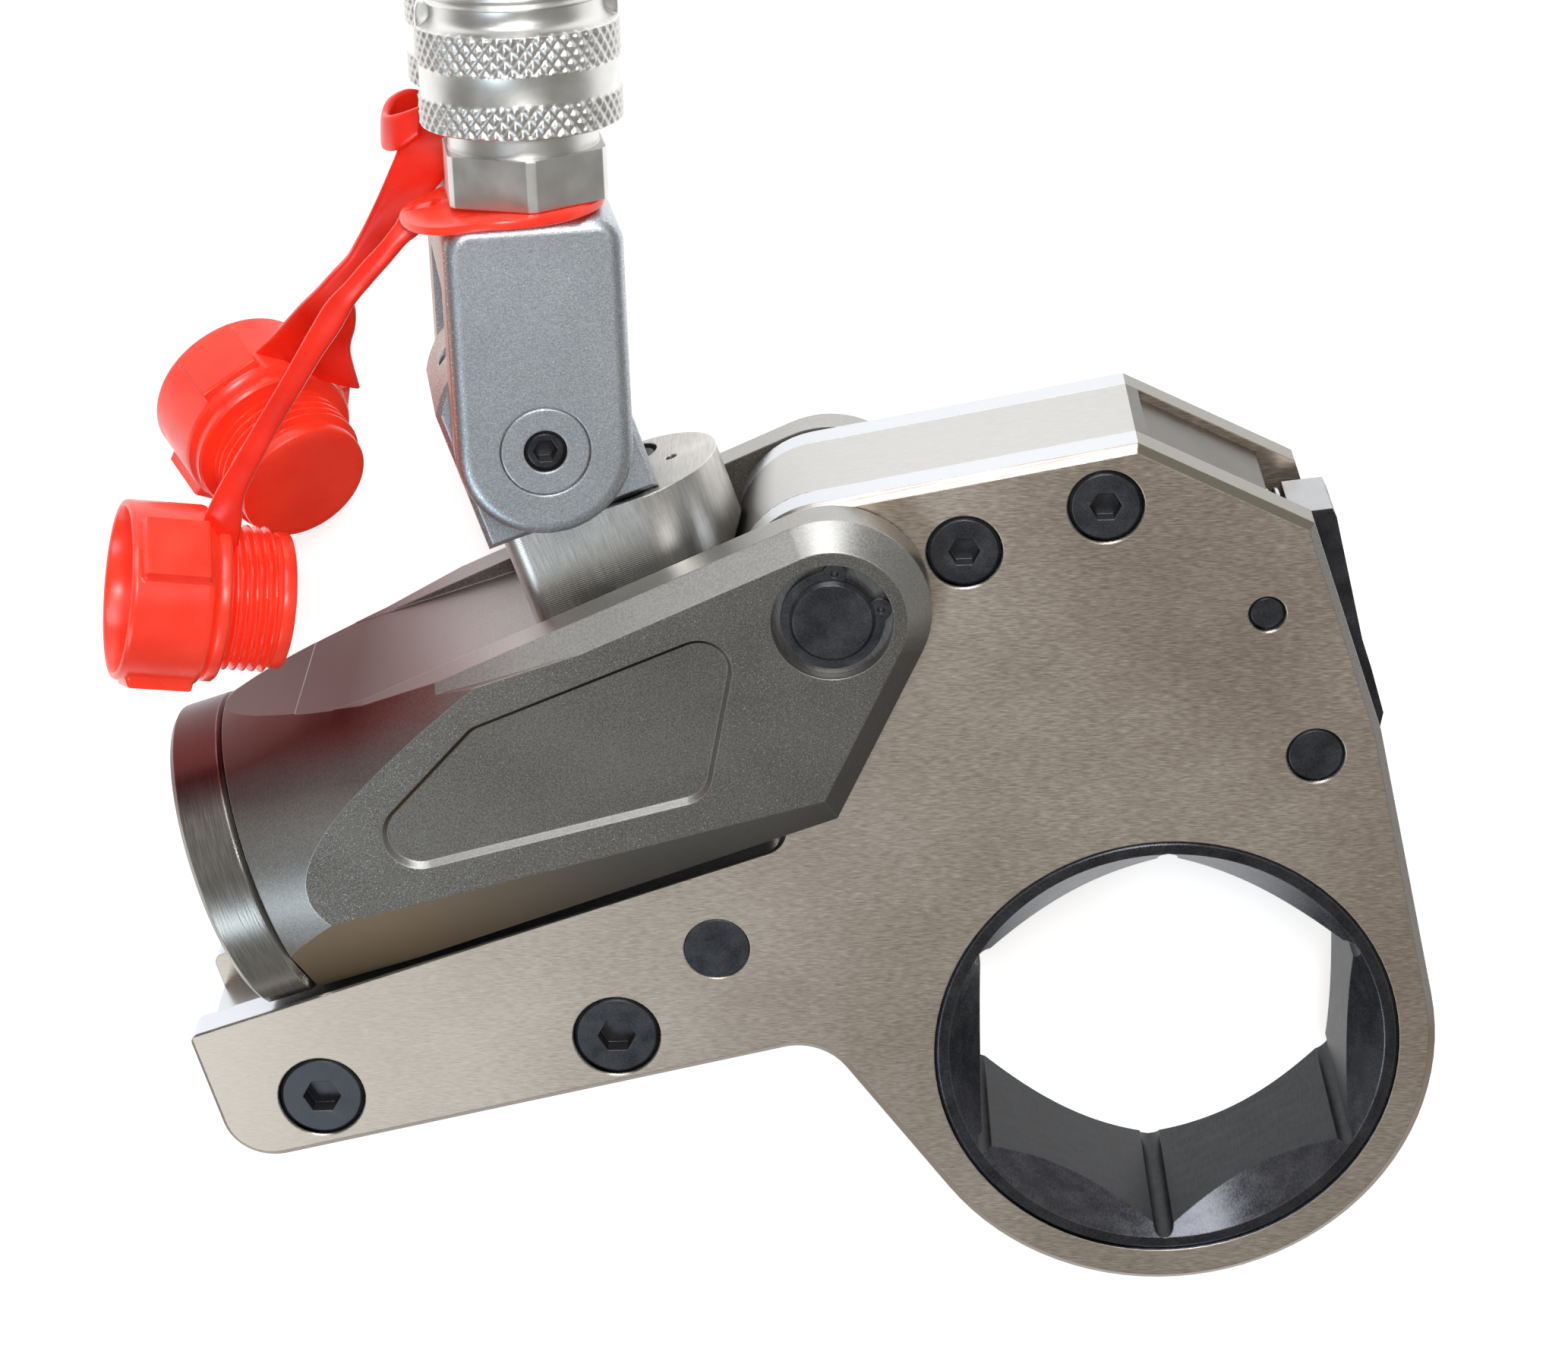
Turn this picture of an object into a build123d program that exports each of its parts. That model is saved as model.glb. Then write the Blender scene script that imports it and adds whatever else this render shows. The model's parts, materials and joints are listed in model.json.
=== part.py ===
from build123d import *
from math import acos, atan2, cos, degrees, hypot, radians, sin, sqrt, tan
import os

os.makedirs("parts", exist_ok=True)

# Frame: the origin is on the axis of the hexagon bore, halfway through the cassette.
# X runs to the nose of the tool, Y up its back, Z out of the near side plate.

# Hexagon drive and ratchet wheel
hexagon_flats = 55.0
hexagon_corner_groove = 1.5
wheel_teeth = 60
hub_radius = 34.5
hub_running_gap = 0.08
wheel_root_radius = hub_radius + 1.4
wheel_tip_radius = hub_radius + 3.1
wheel_half_length = 15.8
wheel_tooth_half_width = 5.0
lead_in_mouth_radius = 32.4
lead_in_depth = 6.0

# Power head and drive lever: the cylinder axis passes the wheel at almost the lever's radius
head_angle = 17.5
lever_radius = 69.0
axis_offset = lever_radius - 0.4


def polar(radius, angle):
    return (radius * cos(radians(angle)), radius * sin(radians(angle)))


def from_head(u, v):
    # A place given along (u) and across (v) the cylinder axis, in the frame of the whole tool
    along = polar(u, head_angle)
    across = polar(v + axis_offset, head_angle + 90)
    return (along[0] + across[0], along[1] + across[1])


# Cassette side plates: back and front corners over the lever, arm below the cylinder
plate_thickness = 6.0
cassette_half_width = 16.0
plate_bevel = 1.15
arm_top_bevel = 0.3
arm_end_bevel = 0.5
nose_radius = hub_radius + 5.5
boss_radius = 14.0
link_pin_uv = (-23.466, 16.6)
link_pin_xy = from_head(*link_pin_uv)
back_corner = polar(lever_radius + 27.02, 92.865)
front_corner = polar(lever_radius + 16.69, 76.434)
front_kink = polar(hub_radius + 24.96, 59.252)
arm_root_corner = from_head(-47.97, -50.64)
arm_end_bottom_uv = (-138.04, -42.17)
arm_end_top_uv = (-137.0, -19.22)
arm_top_corner_uv = (-42.88, -18.38)
arm_channel_v = -24.5

# Cassette fasteners
top_screw_places = [polar(lever_radius + 18.3, 96.116), polar(lever_radius + 16.63, 109.938)]
arm_screw_places = [from_head(-76.566, -39.74), from_head(-121.963, -35.07)]
top_screw_head_radius = 5.2
top_screw_shank_radius = 3.0
arm_screw_head_radius = 6.3
arm_screw_shank_radius = 4.0
arm_dowel_xy = from_head(-57.608, -30.83)
arm_dowel_radius = 4.75
stop_pin_xy = polar(lever_radius + 2.21, 78.99)
stop_pin_radius = 2.6
pawl_pin_xy = polar(hub_radius + 17.62, 66.24)
pawl_pin_radius = 4.15

# Cylinder body, measured along (u) and across (v) the cylinder axis
head_half_width = 25.5
slot_half_width = 16.3
barrel_radius = 23.6
barrel_end = -115.7
flare_angle = 15.0
slot_floor = 23.5
slot_left = -103.0
ear_top_slope = 5.9
ear_chamfer = 3.5
front_foot = (-33.0, -13.7)
underside = -17.9
underside_start = -100.0
front_wall = -46.0
cap_length = 8.2
cap_seam = 0.3

# Hydraulic cylinder, long enough for the stroke that swings the lever by three teeth
lever_swing = 3 * 360.0 / wheel_teeth
stroke = radians(lever_swing) * lever_radius
bore_radius = 14.0
bore_right = -60.0
gland_length = 10.0
piston_length = 12.0
piston_left = bore_right - gland_length - piston_length - stroke - 2.3
bore_left = piston_left - 1.0
cap_plug_radius = 18.0
rod_radius = 7.2
rod_clearance = 0.05
lever_pin_u = lever_radius * sin(radians(-lever_swing / 2))
rod_shoulder = lever_pin_u - 12.2
rod_tip = lever_pin_u + 6.2

# Link pin
link_pin_radius = 6.0
link_bush_radius = 8.6
ear_recess = 1.9

# Drive lever: pivots on the wheel hub, swings three teeth for one stroke
lever_rest = 90.0 + head_angle + lever_swing / 2
lever_inner_face = 5.25
lever_outer_face = 9.7
lever_ring_radius = hub_radius + 3.8
lever_pin_radius = 4.0
drive_tip_angle = 106.0
drive_pawl_pivot_radius = wheel_tip_radius + 5.9
tooth_middle_radius = wheel_root_radius + 0.6
drive_pawl_pivot_angle = drive_tip_angle + degrees(acos(tooth_middle_radius / drive_pawl_pivot_radius))
drive_pawl_lift = 5.6
drive_pawl_pin_radius = 3.0
spring_low = drive_pawl_pivot_radius + 4.4
lever_room = lever_radius - lever_pin_radius - spring_low
spacer_middle = spring_low + lever_room * 0.526
spacer_depth = lever_room * 0.386
hold_tip_angle = 37.5
hold_pad_spread = 4.0
hold_pawl_lift = 5.4
pawl_half_width = 4.8
release_half_width = 6.4
tooth_gap = 0.12

# Swivel
swivel_u = -56.4
swivel_v = 52.7
swivel_turn = 9.0
swivel_tilt = -17.5
base_top = 38.2
base_half_width = 12.0
base_left = -65.8
base_right = -33.6
spigot_radius = 7.5
lug_radius = 14.5
lug_half_breadth = 12.8
lug_half_width = 12.5
block_half_width = 23.8
block_half_thick = 12.3
block_top = 32.4
block_slot_half = 12.8
block_slot_top = 21.2
block_edge_round = 2.0
tilt_shaft_radius = 6.3

# Couplers
coupler_spacing = 29.2
nut_bottom = 34.2
nut_top = 41.2
nut_flats = 21.5
neck_radius = 10.3
collar_bottom = 46.4
band_one = 49.8
band_two = 54.5
band_three = 59.3
ring_top = 62.5
thread_relief = 0.5
collar_top = 75.0
collar_radius = 13.9
collar_thread_radius = 12.5
coupler_core_radius = 9.0

# Dust caps
loop_radius = 14.1
cup_radius = 12.7
cup_length = 11.4
cap_flange_radius = 12.1
cap_flange_end = 14.0
red_plug_radius = 9.2
red_plug_end = 23.6
strap_width = 4.6
strap_thickness = 2.0

head = Pos(-axis_offset * sin(radians(head_angle)), axis_offset * cos(radians(head_angle)), 0)
head = head * Rot(0, 0, head_angle)
post = head * Pos(swivel_u, swivel_v, 0) * Rot(0, swivel_turn, 0)
block = post * Rot(0, 0, swivel_tilt)


def save(name, shape):
    export_step(shape, f"parts/{name}.step")


def disc(place, radius, low, high):
    return Pos(place[0], place[1], (low + high) / 2) * Cylinder(radius, high - low)


def lift(face, low, high):
    return Pos(0, 0, low) * extrude(face, high - low, dir=(0, 0, 1))


def plate(points, low, high):
    return lift(make_face(Polyline(*points, close=True)), low, high)


def round_bar(radius, left, right):
    return Pos((left + right) / 2, 0, 0) * Rot(0, 90, 0) * Cylinder(radius, right - left)


def ring_bar(outer, inner, left, right):
    return round_bar(outer, left, right) - round_bar(inner, left - 1, right + 1)


def upright(radius, low, high, u=0, z=0):
    return Pos(u, (low + high) / 2, z) * Rot(90, 0, 0) * Cylinder(radius, high - low)


def both_sides(shape):
    return shape + mirror(shape, about=Plane.XY)


def tangent_point(point, centre, radius, side):
    # The point where a straight edge from the given point touches a circle.
    dx = point[0] - centre[0]
    dy = point[1] - centre[1]
    turn = side * acos(radius / hypot(dx, dy))
    angle = atan2(dy, dx) + turn
    return (centre[0] + radius * cos(angle), centre[1] + radius * sin(angle))


def on_circle(centre, radius, angle):
    x, y = polar(radius, angle)
    return (centre[0] + x, centre[1] + y)


def nearest_vertex(face, point):
    return min(face.vertices(), key=lambda v: hypot(v.X - point[0], v.Y - point[1]))


def cassette_face(end_growth=0, top_growth=0):
    # The side outline; the two growths move the arm's end and its top edge outward.
    arm_end_bottom = from_head(arm_end_bottom_uv[0] - end_growth, arm_end_bottom_uv[1])
    arm_end_top = from_head(arm_end_top_uv[0] - end_growth, arm_end_top_uv[1] + top_growth)
    arm_top_corner = from_head(arm_top_corner_uv[0], arm_top_corner_uv[1] + top_growth)
    boss_top = tangent_point(back_corner, link_pin_xy, boss_radius, 1)
    boss_left = on_circle(link_pin_xy, boss_radius, 172)
    boss_mid = on_circle(link_pin_xy, boss_radius, 136)
    nose_start = tangent_point(front_kink, (0, 0), nose_radius, -1)
    nose_end = tangent_point(arm_root_corner, (0, 0), nose_radius, 1)
    nose_mid = polar(nose_radius, -66)
    edges = Line(boss_top, back_corner)
    edges += Line(back_corner, front_corner)
    edges += Line(front_corner, front_kink)
    edges += Line(front_kink, nose_start)
    edges += ThreePointArc(nose_start, nose_mid, nose_end)
    edges += Line(nose_end, arm_root_corner)
    edges += Line(arm_root_corner, arm_end_bottom)
    edges += Line(arm_end_bottom, arm_end_top)
    edges += Line(arm_end_top, arm_top_corner)
    edges += Line(arm_top_corner, boss_left)
    edges += ThreePointArc(boss_left, boss_mid, boss_top)
    face = make_face(edges)
    face = fillet(nearest_vertex(face, arm_root_corner), 9)
    face = fillet(nearest_vertex(face, arm_end_bottom), 8)
    face = fillet(nearest_vertex(face, arm_end_top), 1.5)
    return fillet(nearest_vertex(face, arm_top_corner), 3)


def toothed_face(tip, root, turn):
    # Saw teeth: a steep face on the anticlockwise side, a long back on the other.
    pitch = 360.0 / wheel_teeth
    points = []
    for tooth in range(wheel_teeth):
        start = tooth * pitch + turn
        points.append(polar(root, start))
        points.append(polar(tip, start + pitch * 0.72))
        points.append(polar(tip, start + pitch * 0.9))
    return make_face(Polyline(*points, close=True))


def socket_screw(head_radius, head_length, shank_radius, length, key):
    # Stands on z = 0 with its head face up and its shank below.
    screw = disc((0, 0), head_radius, -head_length, 0)
    top = screw.edges().filter_by(GeomType.CIRCLE).group_by(Axis.Z)[-1]
    screw = chamfer(top, 0.5)
    screw += disc((0, 0), shank_radius, -length, -head_length)
    socket = extrude(RegularPolygon(key / sqrt(3), 6), -head_length * 0.7)
    return screw - socket


def coil(radius, wire, length, turns):
    path = Helix(length / turns, length, radius)
    profile = Plane(origin=path @ 0, z_dir=path % 0) * Circle(wire)
    return sweep(profile, path)


# Cassette side plates
outline = cassette_face()
inner_face = cassette_half_width - plate_thickness
side_plate = lift(outline, inner_face, cassette_half_width)
bevel_low = cassette_half_width - plate_bevel
bevel_rim = cassette_face(plate_bevel - arm_end_bevel, plate_bevel - arm_top_bevel).faces()[0]
bevel_top = offset(bevel_rim, -plate_bevel, kind=Kind.INTERSECTION).faces()[0]
bevelled = lift(bevel_rim, inner_face, bevel_low)
bevelled += Pos(0, 0, bevel_low) * loft([bevel_rim, Pos(0, 0, plate_bevel) * bevel_top])
side_plate &= bevelled
through = cassette_half_width + 1
side_plate -= disc((0, 0), hub_radius + hub_running_gap, 0, through)
side_plate -= disc(link_pin_xy, link_bush_radius, 0, through)
side_plate -= disc(arm_dowel_xy, arm_dowel_radius, 0, through)
side_plate -= disc(stop_pin_xy, stop_pin_radius, 0, through)
side_plate -= disc(pawl_pin_xy, pawl_pin_radius, 0, through)
for place in top_screw_places:
    side_plate -= disc(place, top_screw_shank_radius, 0, through)
    side_plate -= disc(place, top_screw_head_radius + 0.15, cassette_half_width - 3.6, through)
for place in arm_screw_places:
    side_plate -= disc(place, arm_screw_shank_radius, 0, through)
    side_plate -= disc(place, arm_screw_head_radius + 0.15, cassette_half_width - 4.2, through)
hole_rims = side_plate.faces().sort_by(Axis.Z)[-1].edges().filter_by(GeomType.CIRCLE)
small_rims = [edge for edge in hole_rims if edge.is_closed and edge.radius < 7]
side_plate = chamfer(small_rims, 0.2)
save("side_plate_near", side_plate)
save("side_plate_far", mirror(side_plate, about=Plane.XY))

# Top spacer: fills the boss and the back of the cassette between the plates
spacer = lift(outline, -inner_face, inner_face)
spacer -= disc((0, 0), lever_radius + 9.2, -11, 11)
cut_length = 4 * lever_radius
spacer -= head * (Pos(-80, rod_radius + 0.9 - cut_length / 2, 0) * Box(cut_length, cut_length, 40))
release_room = Pos(front_corner[0] - 3.1 + cut_length / 2, front_corner[1] - 1.0 - cut_length / 2, 0)
spacer -= release_room * Box(cut_length, cut_length, 40)
spacer -= disc(link_pin_xy, link_bush_radius, -11, 11)
for place in top_screw_places:
    spacer -= disc(place, top_screw_shank_radius, -11, 11)
slope = degrees(atan2(front_corner[1] - back_corner[1], front_corner[0] - back_corner[0]))
recess = Pos(back_corner[0], back_corner[1], 0) * Rot(0, 0, slope) * Pos(32, 0, 0) * Box(60, 2.4, 40)
spacer -= recess
hold_spring_place = (front_corner[0] - 11.35, front_corner[1] - 2.7)
spring_pit = Pos(hold_spring_place[0] + 4, hold_spring_place[1], 0) * Rot(0, 90, 0) * Cylinder(2.5, 8.6)
spacer -= spring_pit
spacer = max(spacer.solids(), key=lambda solid: solid.volume)
save("top_spacer", spacer)

# Reaction arm block: its top lies in a channel between the plates
arm_block = lift(outline, -inner_face, inner_face)
arm_block &= head * Pos(-53 - cut_length / 2, arm_channel_v - cut_length / 2, 0) * Box(cut_length, cut_length, 40)
arm_block -= disc(arm_dowel_xy, arm_dowel_radius, -11, 11)
for place in arm_screw_places:
    arm_block -= disc(place, arm_screw_shank_radius, -11, 11)
arm_block = max(arm_block.solids(), key=lambda solid: solid.volume)
save("arm_block", arm_block)

# Cassette fasteners, heads on both sides
top_screw = socket_screw(top_screw_head_radius, 3.2, top_screw_shank_radius, 15, 4)
top_screws = []
for place in top_screw_places:
    near = Pos(place[0], place[1], cassette_half_width - 0.3) * top_screw
    top_screws += [near, mirror(near, about=Plane.XY)]
save("top_screws", Compound(children=top_screws))
arm_screw = socket_screw(arm_screw_head_radius, 3.8, arm_screw_shank_radius, 15, 5)
arm_screws = []
for place in arm_screw_places:
    near = Pos(place[0], place[1], cassette_half_width - 0.3) * arm_screw
    arm_screws += [near, mirror(near, about=Plane.XY)]
save("arm_screws", Compound(children=arm_screws))
save("arm_dowel", disc(arm_dowel_xy, arm_dowel_radius, -15.9, 15.9))
stop_pin = disc(stop_pin_xy, stop_pin_radius, -15.4, 15.4)
save("stop_pin", chamfer(stop_pin.edges().filter_by(GeomType.CIRCLE), 0.4))
pawl_pin = disc(pawl_pin_xy, pawl_pin_radius, -15.6, 15.6)
save("hold_pawl_pin", chamfer(pawl_pin.edges().filter_by(GeomType.CIRCLE), 0.4))
hinge_bush = disc(link_pin_xy, link_bush_radius, -cassette_half_width, cassette_half_width)
hinge_bush -= disc(link_pin_xy, link_pin_radius, -17, 17)
save("cassette_bush", hinge_bush)

# Ratchet wheel
wheel = disc((0, 0), hub_radius, -wheel_half_length, wheel_half_length)
wheel = chamfer(wheel.edges().filter_by(GeomType.CIRCLE), 0.5)
teeth = toothed_face(wheel_tip_radius, wheel_root_radius, 0)
wheel += lift(teeth, -wheel_tooth_half_width, wheel_tooth_half_width)
flat_to_corner = hexagon_flats / sqrt(3)
hexagon = lift(RegularPolygon(flat_to_corner, 6, rotation=30), -20, 20)
wheel -= hexagon
for corner in range(6):
    place = polar(flat_to_corner - 0.8, 30 + 60 * corner)
    wheel -= disc(place, hexagon_corner_groove, -20, 20)
lead_in = Cone(hexagon_flats / 2, lead_in_mouth_radius, lead_in_depth)
lead_in = Pos(0, 0, wheel_half_length - lead_in_depth / 2) * lead_in
wheel -= both_sides(lead_in)
save("ratchet_wheel", wheel)

# Drive lever: two ring plates, joined by a spacer, the lever pin and the pawl pin
lever_pin_xy = polar(lever_radius, lever_rest)
drive_pivot_xy = polar(drive_pawl_pivot_radius, drive_pawl_pivot_angle)
lever = disc((0, 0), lever_ring_radius, lever_inner_face, lever_outer_face)
lever += disc(lever_pin_xy, 8.0, lever_inner_face, lever_outer_face)
lever += disc(drive_pivot_xy, 6.0, lever_inner_face, lever_outer_face)
web = [
    polar(lever_ring_radius - 2, lever_rest - 19),
    polar(spacer_middle - 2.9, lever_rest - 8.2),
    polar(lever_radius, lever_rest - degrees(8.0 / lever_radius)),
    polar(lever_radius, lever_rest + degrees(8.0 / lever_radius)),
    polar(spacer_middle - 0.9, lever_rest + 8.5),
    polar(drive_pawl_pivot_radius + 5.8, drive_pawl_pivot_angle - 2.5),
    polar(lever_ring_radius - 2, drive_pawl_pivot_angle + 4),
]
lever += plate(web, lever_inner_face, lever_outer_face)
lever -= disc((0, 0), hub_radius + hub_running_gap + 0.1, 0, 12)
lever -= disc(lever_pin_xy, lever_pin_radius, 0, 12)
lever -= disc(drive_pivot_xy, drive_pawl_pin_radius, 0, 12)
lever_at = Rot(0, 0, lever_rest)
rivet_places = [(lever_at * Pos(spacer_middle, side, 0)).position for side in (-4.4, 4.4)]
for place in rivet_places:
    lever -= disc((place.X, place.Y), 1.5, 0, 12)
save("drive_lever_near", lever)
save("drive_lever_far", mirror(lever, about=Plane.XY))
lever_spacer = lever_at * Pos(spacer_middle, 0, 0) * Box(spacer_depth, 13.6, 2 * lever_inner_face)
for place in rivet_places:
    lever_spacer -= disc((place.X, place.Y), 1.5, -12, 12)
save("lever_spacer", lever_spacer)
rivets = [disc((p.X, p.Y), 1.5, -lever_outer_face, lever_outer_face) for p in rivet_places]
save("lever_rivets", Compound(children=rivets))
save("lever_pin", disc(lever_pin_xy, lever_pin_radius, -lever_outer_face, lever_outer_face))
drive_pin = disc(drive_pivot_xy, drive_pawl_pin_radius, -lever_outer_face, lever_outer_face)
save("drive_pawl_pin", drive_pin)


def sector(inner, outer, start, stop):
    middle = (start + stop) / 2
    edges = Line(polar(inner, start), polar(outer, start))
    edges += ThreePointArc(polar(outer, start), polar(outer, middle), polar(outer, stop))
    edges += Line(polar(outer, stop), polar(inner, stop))
    edges += ThreePointArc(polar(inner, stop), polar(inner, middle), polar(inner, start))
    return make_face(edges)


def thick(face):
    return lift(face, -pawl_half_width, pawl_half_width)


def cut_teeth(pad, entry_play=0.22):
    # The play frees the steep flanks of a pawl that swings in at a slant.
    for turn in (-0.22, 0.22, entry_play):
        space = toothed_face(wheel_tip_radius + tooth_gap, wheel_root_radius + tooth_gap, turn)
        pad -= lift(space, -8, 8)
    return pad


def swing(shape, pivot, angle):
    return Pos(pivot[0], pivot[1], 0) * Rot(0, 0, angle) * Pos(-pivot[0], -pivot[1], 0) * shape


# Drive pawl, drawn lifted just clear of the teeth
pad_inner = wheel_root_radius - 0.3
pad_outer = wheel_tip_radius + 1.0
drive_back = drive_pawl_pivot_radius + 1.7
drive_pawl = thick(sector(pad_outer - 0.5, drive_back, drive_tip_angle - 8, drive_pawl_pivot_angle))
drive_pawl += disc(drive_pivot_xy, 5.0, -pawl_half_width, pawl_half_width)
drive_pawl += cut_teeth(thick(sector(pad_inner, pad_outer, drive_tip_angle - 8, drive_tip_angle + 8)))
drive_pawl -= disc(drive_pivot_xy, drive_pawl_pin_radius + 0.04, -6, 6)
drive_pawl = swing(drive_pawl, drive_pivot_xy, drive_pawl_lift)
drive_pawl = max(drive_pawl.solids(), key=lambda solid: solid.volume)
save("drive_pawl", drive_pawl)

# Drive pawl spring, from the lever spacer to the back of the pawl
spring_angle = lever_rest - 4.0
spring_high = spacer_middle - spacer_depth / 2 - 0.3
spring = coil(1.7, 0.35, spring_high - spring_low, 4)
spring_place = polar(spring_low, spring_angle)
spring = Pos(spring_place[0], spring_place[1], 0) * Rot(0, 0, spring_angle) * Rot(0, 90, 0) * spring
save("drive_pawl_spring", spring)

# Holding pawl with its release arm, drawn lifted
hold_outline = [(15.1, 71.7), (4.0, 56.5), (2.9, 33.0), (5.2, 33.0), (22.9, 58.6)]
hold_face = make_face(Polyline(*[polar(hub_radius + rise, angle) for rise, angle in hold_outline], close=True))
hold_pawl = thick(hold_face) - disc((0, 0), pad_outer - 0.45, -8, 8)
hold_pad = thick(sector(pad_inner, pad_outer, hold_tip_angle - hold_pad_spread, hold_tip_angle + hold_pad_spread))
hold_pawl += cut_teeth(hold_pad, 0.65)
hold_pawl += disc(pawl_pin_xy, 7.0, -pawl_half_width, pawl_half_width)
hold_pawl = swing(hold_pawl, pawl_pin_xy, hold_pawl_lift)
release_outline = [
    (-5.6, 3.8), (5.0, -3.4), (10.1, -2.0), (10.9, 2.3), (8.9, 9.5), (7.5, 13.9),
    (3.3, 33.0), (2.6, 34.4), (-3.3, 33.8), (-3.3, 31.3), (-2.8, 14.3),
]
release_points = [(pawl_pin_xy[0] + right, pawl_pin_xy[1] + up) for right, up in release_outline]
release = plate(release_points, -release_half_width, release_half_width)
release -= disc(pawl_pin_xy, 6.8, -12, 12)
hold_pawl += release
hold_pawl += disc(pawl_pin_xy, 7.0, -release_half_width, release_half_width)
hold_pawl -= disc(pawl_pin_xy, pawl_pin_radius + 0.05, -12, 12)
hold_pawl = max(hold_pawl.solids(), key=lambda solid: solid.volume)
save("holding_pawl", hold_pawl)
hold_spring = coil(1.9, 0.35, 8.6, 6)
hold_spring = Pos(hold_spring_place[0], hold_spring_place[1], 0) * Rot(0, 90, 0) * hold_spring
save("holding_pawl_spring", hold_spring)

# Power head body, in its own frame along the cylinder axis
foot_left = (barrel_end, underside)
foot_bend = (underside_start, underside)
arc_start = tangent_point(front_foot, link_pin_uv, boss_radius, 1)
arc_end = on_circle(link_pin_uv, boss_radius, 90 + ear_top_slope)
arc_mid = on_circle(link_pin_uv, boss_radius, 20)
top_bend_u = arc_end[0] - (arc_end[1] - barrel_radius) / tan(radians(ear_top_slope))
top_bend = (top_bend_u, barrel_radius)
top_left = (barrel_end, barrel_radius)
body_edges = Line(foot_left, foot_bend)
body_edges += Line(foot_bend, front_foot)
body_edges += Line(front_foot, arc_start)
body_edges += ThreePointArc(arc_start, arc_mid, arc_end)
body_edges += Line(arc_end, top_bend)
body_edges += Line(top_bend, top_left)
body_edges += Line(top_left, foot_left)
body_face = make_face(body_edges)
body = lift(body_face, -head_half_width, head_half_width)
flat_edges = []
for flat in (body.faces().sort_by(Axis.Z)[-1], body.faces().sort_by(Axis.Z)[0]):
    for edge in flat.edges():
        middle = edge @ 0.5
        if middle.Y > -13 and middle.X > -95:
            flat_edges.append(edge)
body = chamfer(flat_edges, ear_chamfer)
flare_right = -20.0
flare_radius = barrel_radius + (flare_right - barrel_end) * tan(radians(flare_angle))
flare_face = make_face(Polyline(
    (barrel_end, 0), (barrel_end, barrel_radius), (flare_right, flare_radius),
    (10, flare_radius), (10, 0), close=True))
body &= revolve(flare_face, Axis.X)
flank_origin = (-69.5, -6.9, head_half_width)
flank_u = Vector(72.8, -4.35, 0)
flank_down = Vector(0, -13.3, -10.0)
flank_normal = flank_u.cross(flank_down) * -1
if flank_normal.Z < 0:
    flank_normal = flank_normal * -1
flank_plane = Plane(origin=flank_origin, x_dir=flank_u, z_dir=flank_normal)
flank_cut = flank_plane * Pos(0, 0, 20) * Box(cut_length, 80, 40)
body -= both_sides(flank_cut)
body -= Pos(slot_left + cut_length / 2, slot_floor + 20, 0) * Box(cut_length, 40, 2 * slot_half_width)
body -= Pos(front_wall + cut_length / 2, 0, 0) * Box(cut_length, cut_length, 2 * slot_half_width)
body -= round_bar(cap_plug_radius, barrel_end - 1, bore_left)
body -= round_bar(bore_radius, bore_left - 1, bore_right)
body -= round_bar(rod_radius + 0.4, bore_right - 1, front_wall + 1)
body -= disc(link_pin_uv, link_bush_radius, -30, 30)
pocket_points = [(-76.8, 17.3), (-36.4, 20.2), (-49.3, -2.6), (-105.6, 1.2)]
pocket_face = make_face(Polyline(*pocket_points, close=True))
for corner, corner_round in zip(pocket_points, (3.0, 4.0, 4.0, 4.6)):
    pocket_face = fillet(nearest_vertex(pocket_face, corner), corner_round)
pocket = Pos(0, 0, head_half_width - 0.9) * extrude(pocket_face, 2, dir=(0, 0, 1), taper=-40)
body -= both_sides(pocket)
for place in ((-46.8, 7.2), (-46.8, -7.2)):
    body -= upright(2.0, 14, 30, place[0], place[1])
save("cylinder_body", head * body)

# End cap with its screwed plug and a flat to match the body
cap_right = barrel_end - cap_seam
cap_left = cap_right - cap_length
cap = round_bar(barrel_radius, cap_left, cap_right)
cap = chamfer(cap.edges().filter_by(GeomType.CIRCLE), 0.7)
cap += round_bar(cap_plug_radius - 0.05, cap_right - 1, bore_left - 0.1)
cap -= ring_bar(cap_plug_radius + 2, cap_plug_radius - 1.8, -112.6, -110.2)
cap -= Pos(cap_left, underside - 20, 0) * Box(60, 40, 80)
for side in (-1, 1):
    cap -= Pos(0, 0, side * 13) * round_bar(2.2, cap_left - 1, cap_left + 4)
save("end_cap", head * cap)
cap_seal = ring_bar(cap_plug_radius - 0.1, cap_plug_radius - 1.75, -112.5, -110.3)
save("cap_seal", head * cap_seal)

# Piston, rod, gland and their seals
piston_right = piston_left + piston_length
piston = round_bar(bore_radius - rod_clearance, piston_left, piston_right)
piston -= ring_bar(bore_radius + 2, bore_radius - 2, piston_left + 4.5, piston_left + 7.5)
piston -= round_bar(5.0, piston_left + 2.6, piston_right + 1)
save("piston", head * piston)
piston_seal = ring_bar(bore_radius - 0.02, bore_radius - 1.95, piston_left + 4.55, piston_left + 7.45)
save("piston_seal", head * piston_seal)
rod = round_bar(rod_radius, piston_right, rod_shoulder)
rod += round_bar(5.0, piston_left + 2.6, piston_right + 1)
tongue = Pos((rod_shoulder + rod_tip) / 2 - 1, 0, 0)
tongue = tongue * Box(rod_tip - rod_shoulder + 2, 12.8, 9.8)
tongue = chamfer(tongue.edges().filter_by(Axis.Z).sort_by(Axis.X)[-2:], 1.5)
rod += tongue
rod -= disc((lever_pin_u, 0.6), lever_pin_radius + 0.3, -8, 8)
rod -= disc((lever_pin_u, -0.9), lever_pin_radius + 0.3, -8, 8)
rod -= Pos(lever_pin_u, -0.15, 0) * Box(2 * lever_pin_radius + 0.6, 1.5, 16)
save("piston_rod", head * rod)
gland_right = bore_right - 0.1
gland_left = gland_right - gland_length
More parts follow.
